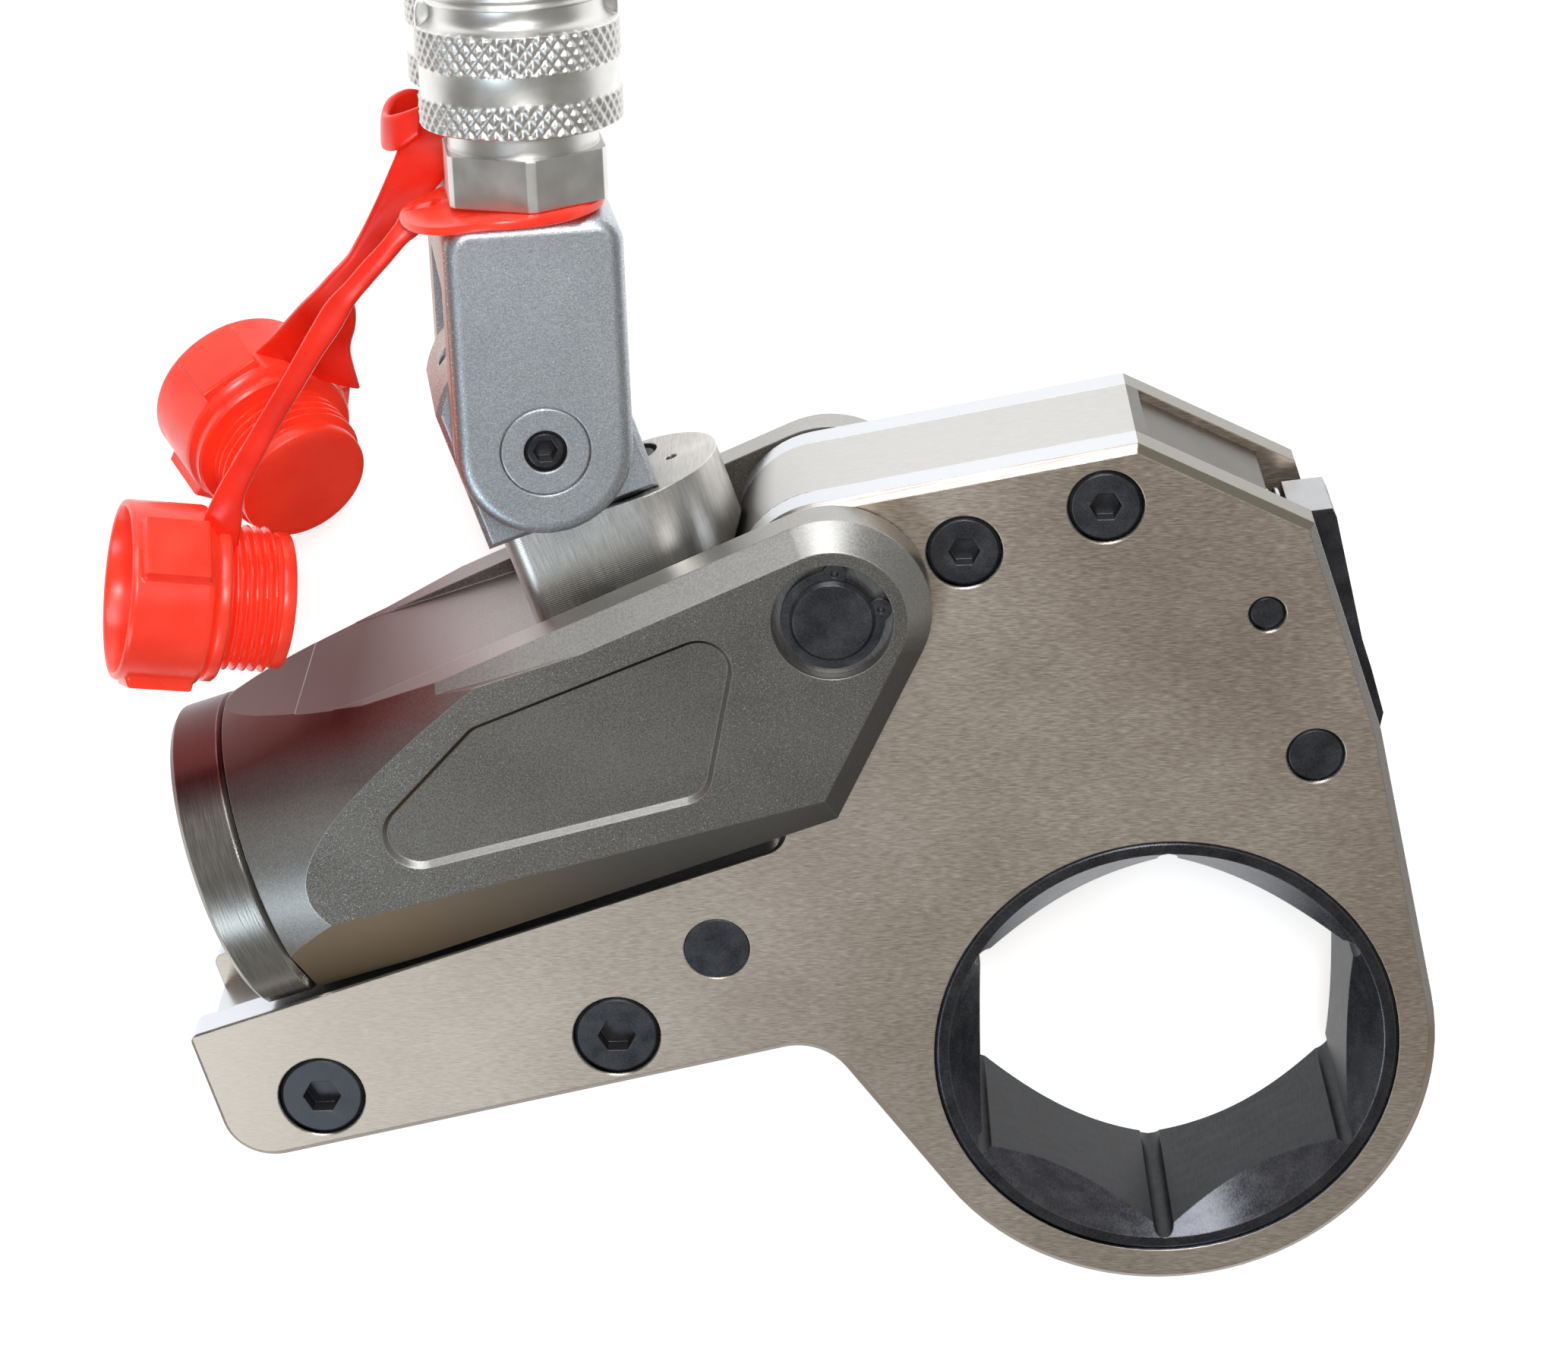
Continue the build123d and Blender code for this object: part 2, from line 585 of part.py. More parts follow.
gland = ring_bar(bore_radius - 0.04, rod_radius + rod_clearance, gland_left, gland_right)
gland -= ring_bar(rod_radius + 1.9, rod_radius - 1, gland_left + 3, gland_left + 6)
save("rod_gland", head * gland)
rod_seal = ring_bar(rod_radius + 1.85, rod_radius + 0.02, gland_left + 3.05, gland_left + 5.95)
save("rod_seal", head * rod_seal)

# Link pin, bushes and retaining rings
bush_face = head_half_width - ear_recess
bush = disc(link_pin_xy, link_bush_radius, slot_half_width, bush_face)
bush -= disc(link_pin_xy, link_pin_radius, 0, 40)
save("ear_bush_near", bush)
save("ear_bush_far", mirror(bush, about=Plane.XY))
clip_low = bush_face + 0.1
clip_thick = 0.9
pin_end = head_half_width - 0.2
link_pin = disc(link_pin_xy, link_pin_radius, -pin_end, pin_end)
link_pin = chamfer(link_pin.edges().filter_by(GeomType.CIRCLE), 0.5)
groove = disc(link_pin_xy, link_pin_radius + 1, clip_low - 0.02, clip_low + clip_thick + 0.02)
groove -= disc(link_pin_xy, link_pin_radius - 0.55, 0, 40)
link_pin -= both_sides(groove)
save("link_pin", link_pin)
clip_face = Circle(7.3) - Circle(link_pin_radius - 0.5)
clip_face -= make_face(Polyline((0, 0), polar(14, 24), polar(14, 50), polar(14, 74), close=True))
for angle in (12, 86):
    lug = Pos(*polar(6.85, angle)) * Circle(1.65)
    clip_face += lug - Circle(link_pin_radius - 0.5)
    clip_face -= Pos(*polar(7.0, angle)) * Circle(0.6)
clip = Pos(link_pin_xy[0], link_pin_xy[1], 0) * lift(clip_face, clip_low, clip_low + clip_thick)
save("retaining_ring_near", clip)
save("retaining_ring_far", mirror(clip, about=Plane.XY))

# Swivel base between the ears
base_arc = base_right - base_half_width
base_plan = make_face(
    Line((base_left, -base_half_width), (base_arc, -base_half_width))
    + ThreePointArc((base_arc, -base_half_width), (base_right, 0), (base_arc, base_half_width))
    + Line((base_arc, base_half_width), (base_left, base_half_width))
    + Line((base_left, base_half_width), (base_left, -base_half_width)))
for side in (-1, 1):
    base_plan = fillet(nearest_vertex(base_plan, (base_left, side * base_half_width)), 3)
base = Rot(-90, 0, 0) * lift(base_plan, slot_floor, base_top)
base -= disc(link_pin_uv, boss_radius + 0.8, -30, 30)
base -= upright(spigot_radius + 0.05, slot_floor - 1, base_top + 1, swivel_u)
base -= upright(10.0, slot_floor - 1, slot_floor + 3, swivel_u)
for side in (-7.2, 7.2):
    base -= upright(2.0, slot_floor - 1, base_top + 1, -46.8, side)
    base -= upright(3.9, base_top - 4.5, base_top + 1, -46.8, side)
base -= upright(0.9, base_top - 3, base_top + 1, -40.5, -1.0)
base -= Pos(0, 34.2, -3.6) * round_bar(2.6, -39.5, -20)
base = max(base.solids(), key=lambda solid: solid.volume)
save("swivel_base", head * base)
plug = Pos(0, 34.2, -3.6) * round_bar(2.55, -39.5, -35.2)
plug -= Pos(-34, 34.2, -3.6) * Rot(0, 90, 0) * extrude(RegularPolygon(1.5, 6), -3)
save("port_plug", head * plug)
base_screw = socket_screw(3.7, 4.0, 1.95, 21, 3)
base_screws = []
for side in (-7.2, 7.2):
    placed = Pos(-46.8, base_top - 0.4, side) * Rot(-90, 0, 0) * base_screw
    base_screws.append(head * placed)
save("base_screws", Compound(children=base_screws))

# Turning post: spigot in the base, lug between the cheeks of the block
post_floor = base_top - swivel_v + 0.15
lug = Cylinder(lug_radius, 2 * lug_half_width)
lug += Pos(0, post_floor / 2, 0) * Box(2 * lug_radius, -post_floor, 2 * lug_half_width)
lug &= Box(2 * lug_half_breadth, 3 * lug_radius, 3 * lug_half_width)
lug = chamfer(lug.edges().group_by(Axis.Z)[-1] + lug.edges().group_by(Axis.Z)[0], 0.8)
spigot_low = slot_floor - swivel_v + 0.4
lug += upright(spigot_radius, spigot_low, post_floor + 1)
lug -= Cylinder(tilt_shaft_radius + 0.05, 40)
for side in (-1, 1):
    lug -= Pos(0, 0, side * 8.2) * (Cylinder(tilt_shaft_radius + 1.5, 2.4) - Cylinder(1, 3))
lug -= Rot(0, 0, 128) * Pos(lug_radius, 0, 0) * Rot(0, 90, 0) * Cylinder(1.9, 8)
ring_low = spigot_low + 0.6
spigot_groove = upright(spigot_radius + 2, ring_low, ring_low + 1.0)
spigot_groove -= upright(spigot_radius - 0.7, ring_low - 1, ring_low + 2)
lug -= spigot_groove
save("swivel_post", post * lug)
post_ring = upright(9.4, ring_low + 0.05, ring_low + 0.95)
post_ring -= upright(spigot_radius - 0.65, ring_low - 1, ring_low + 2)
post_ring -= Pos(9, ring_low, 0) * Box(9, 4, 3)
save("post_ring", post * post_ring)
seals = []
for side in (-1, 1):
    seal = Cylinder(tilt_shaft_radius + 1.45, 2.2) - Cylinder(tilt_shaft_radius + 0.03, 3)
    seals.append(post * (Pos(0, 0, side * 8.2) * seal))
save("tilt_seals", Compound(children=seals))

# Manifold block that tilts on the post
cheek = make_face(
    Line((-block_half_thick, 0), (-block_half_thick, block_top))
    + Line((-block_half_thick, block_top), (block_half_thick, block_top))
    + Line((block_half_thick, block_top), (block_half_thick, 0))
    + ThreePointArc((block_half_thick, 0), (0, -block_half_thick), (-block_half_thick, 0)))
for side in (-1, 1):
    cheek = fillet(nearest_vertex(cheek, (side * block_half_thick, block_top)), 4)
manifold = lift(cheek, -block_half_width, block_half_width)
manifold_rims = manifold.edges().group_by(Axis.Z)[-1] + manifold.edges().group_by(Axis.Z)[0]
manifold = fillet(manifold_rims, block_edge_round)
cheek_gap = Pos(0, block_slot_top - 40, 0) * Box(60, 80, 2 * block_slot_half)
manifold -= cheek_gap
manifold -= Cylinder(tilt_shaft_radius, 60)
ports = [side * coupler_spacing / 2 for side in (1, -1)]
for place in ports:
    manifold -= upright(8.0, 24.0, 40.0, 0, place)
for passage in (-17.6, 17.6):
    manifold -= upright(2.5, 10.0, 25.0, 0, passage)
save("manifold_block", block * manifold)
shaft_end = block_half_width - 0.1
shaft = Cylinder(tilt_shaft_radius, 2 * shaft_end)
shaft = chamfer(shaft.edges().filter_by(GeomType.CIRCLE), 0.3)
for side in (-1, 1):
    shaft -= Pos(0, 0, side * (shaft_end - 4.4)) * Cylinder(3.0, 9)
save("tilt_shaft", block * shaft)
tilt_screw = socket_screw(2.85, 4.2, 2.4, 8.6, 3)
near_screw = Pos(0, 0, shaft_end - 0.3) * tilt_screw
save("tilt_screws", Compound(children=[block * near_screw, block * mirror(near_screw, about=Plane.XY)]))


# Couplers
def coupler_body():
    body = upright(7.95, 24.2, nut_bottom + 1)
    nut = Rot(-90, 0, 0) * extrude(RegularPolygon(nut_flats / sqrt(3), 6, rotation=30), nut_top - nut_bottom)
    nut = Pos(0, nut_bottom, 0) * nut
    body += nut & upright(nut_flats / sqrt(3) - 0.35, nut_bottom, nut_top)
    body += upright(neck_radius, nut_top - 0.5, collar_bottom - 0.1)
    body += upright(coupler_core_radius, collar_bottom - 1, 71.0)
    body -= upright(5.6, 58.0, 72.0)
    body -= upright(2.5, 20.0, 59.0)
    groove = upright(coupler_core_radius + 1, 66.2, 67.2)
    body -= groove - upright(coupler_core_radius - 0.6, 60, 70)
    return body


def coupler_collar():
    collar = upright(collar_radius, collar_bottom, band_one)
    collar += upright(collar_radius - 0.3, band_one, band_two)
    collar += upright(collar_radius, band_two, band_three)
    collar += upright(collar_radius - 0.7, band_three, ring_top)
    collar += upright(collar_thread_radius - 0.8, ring_top - 0.5, ring_top + 1)
    collar += upright(collar_thread_radius, ring_top + thread_relief, collar_top)
    rims = collar.edges().group_by(Axis.Y)
    collar = chamfer(rims[0] + rims[-1], 0.7)
    collar -= upright(coupler_core_radius + 0.08, 40, 80)
    collar -= upright(11.1, 66.0, 80)
    for notch in range(6):
        collar -= Pos(0, 61.2, 0) * Rot(0, 60 * notch + 30, 0) * Pos(13.6, 0, 0) * Box(2.2, 2.6, 5)
    return collar


for name, place in zip(("near", "far"), ports):
    move = block * Pos(0, 0, place)
    save(f"coupler_body_{name}", move * coupler_body())
    save(f"coupler_collar_{name}", move * coupler_collar())
    snap = upright(coupler_core_radius + 1.0, 66.25, 67.15)
    snap -= upright(coupler_core_radius - 0.55, 60, 70)
    snap -= Pos(10, 66.7, 0) * Box(6, 3, 2)
    save(f"snap_ring_{name}", move * snap)
    probe = upright(2.45, 56.0, 68.5) + upright(4.0, 60.0, 62.0)
    probe = probe & upright(5.5, 50, 67.5)
    save(f"probe_{name}", move * probe)


# Moulded dust caps: an open cup with gripping pads, a flange and a threaded plug
def dust_cap():
    cap = round_bar(cup_radius, 0, cup_length)
    for grip in range(3):
        cap += Rot(120 * grip, 0, 0) * Pos(6.3, 0, cup_radius - 0.7) * Box(9.2, 9.4, 3.0)
    cap -= round_bar(cup_radius - 1.5, -1, cup_length - 1.6)
    cap += round_bar(cap_flange_radius, cup_length, cap_flange_end)
    cap += round_bar(red_plug_radius, cap_flange_end, red_plug_end)
    cap += round_bar(red_plug_radius + 0.4, red_plug_end - 2.0, red_plug_end)
    for ridge in range(5):
        ridge_start = cap_flange_end + 0.7 + 1.35 * ridge
        cap += round_bar(red_plug_radius + 1.1, ridge_start, ridge_start + 0.7)
    return cap


def strap(points):
    path = Spline(*points)
    start = Plane(origin=path @ 0, x_dir=(0.15, 0.05, 0.99), z_dir=path % 0)
    section = start * RectangleRounded(strap_width, strap_thickness, 0.8)
    return sweep(section, path, is_frenet=False)


# Each cap, its strap and the loop under the coupler nut are one flexible moulding
loop = upright(loop_radius, block_top + 0.15, nut_bottom - 0.1) - upright(8.25, 30, 36)
near_cap = Pos(-147.7, 80.8, 22.7) * Rot(0, 0, -12.8) * Rot(0, 16.0, 0) * Rot(-27, 0, 0) * dust_cap()
near_strap = strap([(-101.2, 132.6, 14.9), (-106.6, 128.1, 15.5), (-113.0, 119.7, 17.0),
                    (-120.0, 108.8, 19.0), (-127.0, 98.4, 20.8), (-133.4, 87.2, 21.6)])
far_cap = Pos(-135.6, 96.2, -18.1) * Rot(0, 0, -36.5) * Rot(0, -50.8, 0) * Rot(-30, 0, 0) * dust_cap()
far_strap = strap([(-105.4, 131.4, -14.2), (-111.5, 126.0, -14.5), (-116.5, 117.3, -12.5),
                   (-120.6, 109.0, -10.0), (-124.4, 100.4, -7.8)])
near_loop = block * Pos(0, 0, ports[0]) * loop
far_loop = block * Pos(0, 0, ports[1]) * loop
save("dust_cap_near", near_cap + near_strap + near_loop)
save("dust_cap_far", far_cap + far_strap + far_loop)
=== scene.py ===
import bpy
import json
import math
from mathutils import Matrix, Vector


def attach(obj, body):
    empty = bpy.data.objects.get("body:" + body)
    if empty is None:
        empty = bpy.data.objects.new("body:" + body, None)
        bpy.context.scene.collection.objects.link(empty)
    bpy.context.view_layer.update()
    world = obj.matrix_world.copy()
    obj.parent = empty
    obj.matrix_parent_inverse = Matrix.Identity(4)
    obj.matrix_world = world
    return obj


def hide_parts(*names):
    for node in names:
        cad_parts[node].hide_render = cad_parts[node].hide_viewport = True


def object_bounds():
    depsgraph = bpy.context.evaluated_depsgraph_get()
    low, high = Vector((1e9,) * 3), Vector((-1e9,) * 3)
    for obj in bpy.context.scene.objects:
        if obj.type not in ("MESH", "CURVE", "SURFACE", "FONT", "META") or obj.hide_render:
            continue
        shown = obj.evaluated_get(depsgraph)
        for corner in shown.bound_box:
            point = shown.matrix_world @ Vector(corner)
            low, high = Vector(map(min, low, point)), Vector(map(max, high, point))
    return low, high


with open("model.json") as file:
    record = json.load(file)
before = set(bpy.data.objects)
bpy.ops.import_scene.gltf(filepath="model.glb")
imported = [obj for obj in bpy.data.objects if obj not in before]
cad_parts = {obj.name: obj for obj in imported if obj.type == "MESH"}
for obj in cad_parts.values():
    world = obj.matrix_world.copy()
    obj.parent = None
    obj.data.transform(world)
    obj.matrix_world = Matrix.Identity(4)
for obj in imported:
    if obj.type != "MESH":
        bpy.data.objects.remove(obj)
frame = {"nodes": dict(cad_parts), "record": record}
cad_low, cad_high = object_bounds()
nodes = frame["nodes"]
collection = bpy.context.scene.collection
MM = 0.001


def link(thing):
    collection.objects.link(thing)
    return thing


# Camera, standing where the photographer stood
photo_width = 2065.0
focal_pixels = 5149.49
film_width = 36.0
camera_place = (-0.04498, 0.28391, 0.52808)
camera_right = (0.99955, -0.02927, -0.00715)
camera_up = (0.02400, 0.91680, -0.39862)
camera_back = (0.01822, 0.39827, 0.91709)
camera_data = bpy.data.cameras.new("camera")
camera_data.sensor_width = film_width
camera_data.lens = film_width * focal_pixels / photo_width
camera_data.clip_start = 0.01
camera = link(bpy.data.objects.new("camera", camera_data))
camera.matrix_world = Matrix((*zip(camera_right, camera_up, camera_back, camera_place), (0, 0, 0, 1)))
bpy.context.scene.camera = camera
bpy.context.scene.view_settings.view_transform = "Standard"

# Frames of the power head, the turning post, the tilting block and the couplers, in millimetres
head_angle = math.radians(17.5)
hub_to_link = 68.6
post_place = (-56.4, 52.7, 0)
post_turn = math.radians(9)
block_tilt = math.radians(-17.5)
coupler_offset = 14.6
head = Matrix.Translation((-hub_to_link * math.sin(head_angle), hub_to_link * math.cos(head_angle), 0))
head = head @ Matrix.Rotation(head_angle, 4, "Z")
post = head @ Matrix.Translation(post_place) @ Matrix.Rotation(post_turn, 4, "Y")
block = post @ Matrix.Rotation(block_tilt, 4, "Z")
near_coupler = block @ Matrix.Translation((0, 0, coupler_offset))
far_coupler = block @ Matrix.Translation((0, 0, -coupler_offset))

# Directions of the part that the finishes ask about
across_plates = (0, 0, 1)
plate_top = (-0.05, 1, 0)
head_up = (-math.sin(head_angle), math.cos(head_angle), 0)
head_down = (math.sin(head_angle), -math.cos(head_angle), 0)
head_back = (-math.cos(head_angle), -math.sin(head_angle), 0)
nose_slope = (0.45, 0.893, 0)
nose_slope_bevel = (0.32, 0.63, 0.707)
cassette_top = (-0.3, 0.954, 0)
pawl_top = (0.2, 0.98, 0)
block_left = (-0.9888, 0.0035, 0.149)


class Paint:
    # A Principled material with the nodes that the finishes share; sizes are in millimetres
    def __init__(self, name, color, metallic, roughness):
        self.material = bpy.data.materials.new(name)
        self.material.use_nodes = True
        self.tree = self.material.node_tree
        self.shader = self.tree.nodes["Principled BSDF"]
        self.shader.inputs["Base Color"].default_value = (*color, 1)
        self.shader.inputs["Metallic"].default_value = metallic
        self.shader.inputs["Roughness"].default_value = roughness
        self.spot = self.add("ShaderNodeTexCoord")
        self.rounded = None

    def add(self, kind):
        return self.tree.nodes.new(kind)

    def join(self, source, target):
        self.tree.links.new(source, target)

    def give(self, value, socket):
        # A socket takes another node's output or a plain value
        if hasattr(value, "is_linked"):
            self.join(value, socket)
        else:
            socket.default_value = value

    def place(self, stretch, turn):
        # Object coordinates turned about Z, then drawn out along the turned axes
        turned = self.add("ShaderNodeMapping")
        turned.inputs["Rotation"].default_value = (0, 0, -turn)
        self.join(self.spot.outputs["Object"], turned.inputs["Vector"])
        squeezed = self.add("ShaderNodeMapping")
        squeezed.inputs["Scale"].default_value = [1 / s for s in stretch]
        self.join(turned.outputs["Vector"], squeezed.inputs["Vector"])
        return squeezed.outputs["Vector"]

    def noise(self, size, stretch=(1, 1, 1), detail=2.0, turn=0.0):
        noise = self.add("ShaderNodeTexNoise")
        noise.inputs["Scale"].default_value = 1.0 / (size * MM)
        noise.inputs["Detail"].default_value = detail
        self.join(self.place(stretch, turn), noise.inputs["Vector"])
        return noise.outputs["Fac"]

    def lines(self, pitch, direction, waver, waver_size=12.0):
        # Parallel tool marks, one every pitch along a direction, pushed about by a soft noise
        swing = self.calc("MULTIPLY", self.noise(waver_size), waver * MM)
        along = self.calc("ADD", self.dot(self.spot.outputs["Object"], direction), swing)
        turns = self.calc("MULTIPLY", along, 2 * math.pi / (pitch * MM))
        return self.calc("MULTIPLY_ADD", self.calc("SINE", turns), 0.5, 0.5)

    def ramp(self, value, stops):
        ramp = self.add("ShaderNodeValToRGB")
        while len(ramp.color_ramp.elements) < len(stops):
            ramp.color_ramp.elements.new(0.5)
        for element, (place, color) in zip(ramp.color_ramp.elements, stops):
            element.position = place
            if isinstance(color, (int, float)):
                color = (color, color, color)
            element.color = (*color, 1)
        self.join(value, ramp.inputs["Fac"])
        return ramp.outputs["Color"]

    def band(self, value, low, high, top=1.0):
        # Nothing up to low, rising to top at high
        return self.ramp(value, [(low, 0.0), (high, top)])

    def mix(self, share, first, second, kind="MIX"):
        mix = self.add("ShaderNodeMix")
        mix.data_type = "RGBA"
        mix.blend_type = kind
        self.give(share, mix.inputs[0])
        for socket, value in ((mix.inputs[6], first), (mix.inputs[7], second)):
            self.give((*value, 1) if isinstance(value, tuple) else value, socket)
        return mix.outputs[2]

    def calc(self, kind, first, second=0.0, third=0.0):
        node = self.add("ShaderNodeMath")
        node.operation = kind
        for socket, value in zip(node.inputs, (first, second, third)):
            self.give(value, socket)
        return node.outputs[0]

    def dot(self, vector, direction):
        dot = self.add("ShaderNodeVectorMath")
        dot.operation = "DOT_PRODUCT"
        self.join(vector, dot.inputs[0])
        self.give(direction, dot.inputs[1])
        return dot.outputs["Value"]

    def faces(self, direction):
        # How far a face looks along a direction of the part, from -1 to 1
        return self.dot(self.spot.outputs["Normal"], direction)

    def flatness(self):
        # 1 on faces that lie like the side plates, 0 on faces square to them
        return self.calc("ABSOLUTE", self.faces(across_plates))

    def reach(self, direction, span=125.0):
        # How far a place lies along a direction, as a share of the span
        return self.calc("MULTIPLY", self.dot(self.spot.outputs["Object"], direction), 1 / (span * MM))

    def edge(self, radius):
        # Share of wear on the edges: where the rounded normal leaves the plain one
        rounding = self.add("ShaderNodeBevel")
        rounding.samples = 4
        rounding.inputs["Radius"].default_value = radius * MM
        self.rounded = rounding.outputs["Normal"]
        plain = self.add("ShaderNodeNewGeometry")
        agreement = self.dot(self.rounded, plain.outputs["Normal"])
        return self.ramp(agreement, [(0.8, 1.0), (0.985, 0.0)])

    def worn(self, radius, share):
        return self.calc("MULTIPLY", self.edge(radius), share)

    def color(self, value):
        self.join(value, self.shader.inputs["Base Color"])

    def rough(self, value):
        self.join(value, self.shader.inputs["Roughness"])

    def bump(self, height, strength, distance):
        # Goes on top of the rounded edges where edge() was called before
        bump = self.add("ShaderNodeBump")
        self.give(strength, bump.inputs["Strength"])
        bump.inputs["Distance"].default_value = distance * MM
        self.join(height, bump.inputs["Height"])
        if self.rounded:
            self.join(self.rounded, bump.inputs["Normal"])
        self.join(bump.outputs["Normal"], self.shader.inputs["Normal"])


def plate_steel():
    # Ground flats with short scratches; the rims and bevels carry painted light by the side they face: a
    # painted highlight on top, a painted reflection of a wooden table below, and painted shade on the nose
    # slope
    deep, brown, pale = (0.35, 0.275, 0.212), (0.46, 0.378, 0.308), (0.62, 0.53, 0.45)
    # Rim colours: a painted dark brown reflection of a wooden table, and a painted pale highlight
    painted_wood_edge, painted_highlight_edge = (0.15, 0.112, 0.08), (0.6, 0.62, 0.65)
    streak_dark, streak_light = (0.24, 0.212, 0.185), (0.4, 0.375, 0.35)
    # Painted shade for the nose slope and its bevel
    painted_slope_shade, painted_slope_bevel_shade = (0.2, 0.19, 0.16), (0.42, 0.39, 0.31)
    rubbed = (0.78, 0.77, 0.74)
    edge_roughness = (0.27, 0.27, 0.27)
    paint = Paint("plate_steel", brown, 1.0, 0.35)
    streak = paint.noise(0.16, (9.0, 1, 1), 3.0)
    dash = paint.noise(0.3, (5.0, 0.8, 1))
    cloud = paint.noise(30, (1.3, 1, 1), 3.0)
    scratches = paint.mix(0.45, streak, dash)
    tone = paint.mix(0.3, scratches, cloud)
    face = paint.ramp(tone, [(0.36, deep), (0.5, brown), (0.66, pale)])
    # Painted highlight on rims that face up, painted wood reflection on rims that face down
    above = paint.band(paint.faces(plate_top), 0.0, 0.5)
    edge = paint.mix(above, painted_wood_edge, painted_highlight_edge)
    bevel = paint.band(paint.flatness(), 0.3, 0.5)
    drawn = paint.noise(0.3, (60.0, 1, 1), turn=0.2)
    streaked = paint.ramp(drawn, [(0.35, streak_dark), (0.65, streak_light)])
    edge = paint.mix(paint.calc("MULTIPLY", bevel, above), edge, streaked)
    # Painted shade on the nose slope and its bevel
    edge = paint.mix(paint.band(paint.faces(nose_slope), 0.93, 0.99), edge, painted_slope_shade)
    edge = paint.mix(paint.band(paint.faces(nose_slope_bevel), 0.94, 0.99), edge, painted_slope_bevel_shade)
    flat = paint.band(paint.flatness(), 0.88, 0.97)
    paint.color(paint.mix(paint.worn(0.25, 0.55), paint.mix(flat, edge, face), rubbed))
    paint.rough(paint.mix(flat, edge_roughness, paint.ramp(tone, [(0.35, 0.34), (0.65, 0.48)])))
    paint.bump(paint.mix(0.5, streak, dash), 0.4, 0.03)
    return paint.material


def spacer_steel():
    # Machined rim faces of the cassette, milled along their length; painted shade keeps the sides dark, so
    # the top is brighter
    dark, light = (0.062, 0.055, 0.046), (0.125, 0.118, 0.106)
    top_dark, top_light = (0.46, 0.45, 0.435), (0.56, 0.55, 0.535)
    paint = Paint("spacer_steel", light, 1.0, 0.3)
    streak = paint.noise(0.3, (6.0, 6.0, 0.7), 3.0)
    cloud = paint.noise(10, detail=4.0)
    # Painted shade on the side faces; the top faces keep the bright steel
    shade = paint.ramp(paint.mix(0.35, streak, cloud), [(0.36, dark), (0.64, light)])
    above = paint.band(paint.faces(cassette_top), 0.8, 0.96)
    paint.color(paint.mix(above, shade, paint.ramp(streak, [(0.3, top_dark), (0.7, top_light)])))
    paint.rough(paint.ramp(streak, [(0.3, 0.28), (0.75, 0.42)]))
    # Only rounds the edges here: the wear that edge() gives back isn't wanted
    paint.edge(0.2)
    paint.bump(streak, 0.3, 0.03)
    return paint.material


def swivel_steel():
    # Bead-blasted steel: fine grit with tiny painted glints, rubbed edges, and a painted reflection of a
    # wooden table on the faces that look left
    dark, light, painted_glint = (0.38, 0.405, 0.435), (0.54, 0.57, 0.61), (0.95, 0.97, 1.0)
    painted_wood_reflection, rubbed = (0.3, 0.2, 0.13), (0.85, 0.87, 0.9)
    roughness = 0.42
    paint = Paint("swivel_steel", dark, 1.0, roughness)
    grit = paint.noise(0.28)
    fine = paint.noise(0.12, detail=1.0)
    cloud = paint.noise(16, detail=3.0)
    base = paint.ramp(paint.mix(0.3, grit, cloud), [(0.4, dark), (0.6, light)])
    # Painted glints: sparse specks of bright colour in the grit
    glint = paint.band(paint.noise(0.2, detail=1.0), 0.64, 0.7)
    # Painted reflection of a wooden table on the faces that look left
    base = paint.mix(paint.band(paint.faces(block_left), 0.5, 0.92, 0.75), base, painted_wood_reflection)
    wear = paint.worn(0.4, 0.6)
    paint.color(paint.mix(wear, paint.mix(glint, base, painted_glint), rubbed))
    paint.rough(paint.ramp(glint, [(0.0, roughness), (1.0, roughness * 0.75)]))
    paint.bump(paint.mix(0.5, grit, fine), 0.5, 0.06)
    return paint.material


def painted_cap_reflection(paint, low, high, floor):
    # Painted reflection of the red dust caps on upper faces near them, fading along the head and towards
    # its belly
    above = paint.band(paint.faces(head_up), low, high, 0.95)
    share = paint.calc("MULTIPLY", above, paint.band(paint.reach(head_back), 0.53, 0.76))
    return paint.calc("MULTIPLY", share, paint.band(paint.reach(head_up), floor, floor + 0.05))


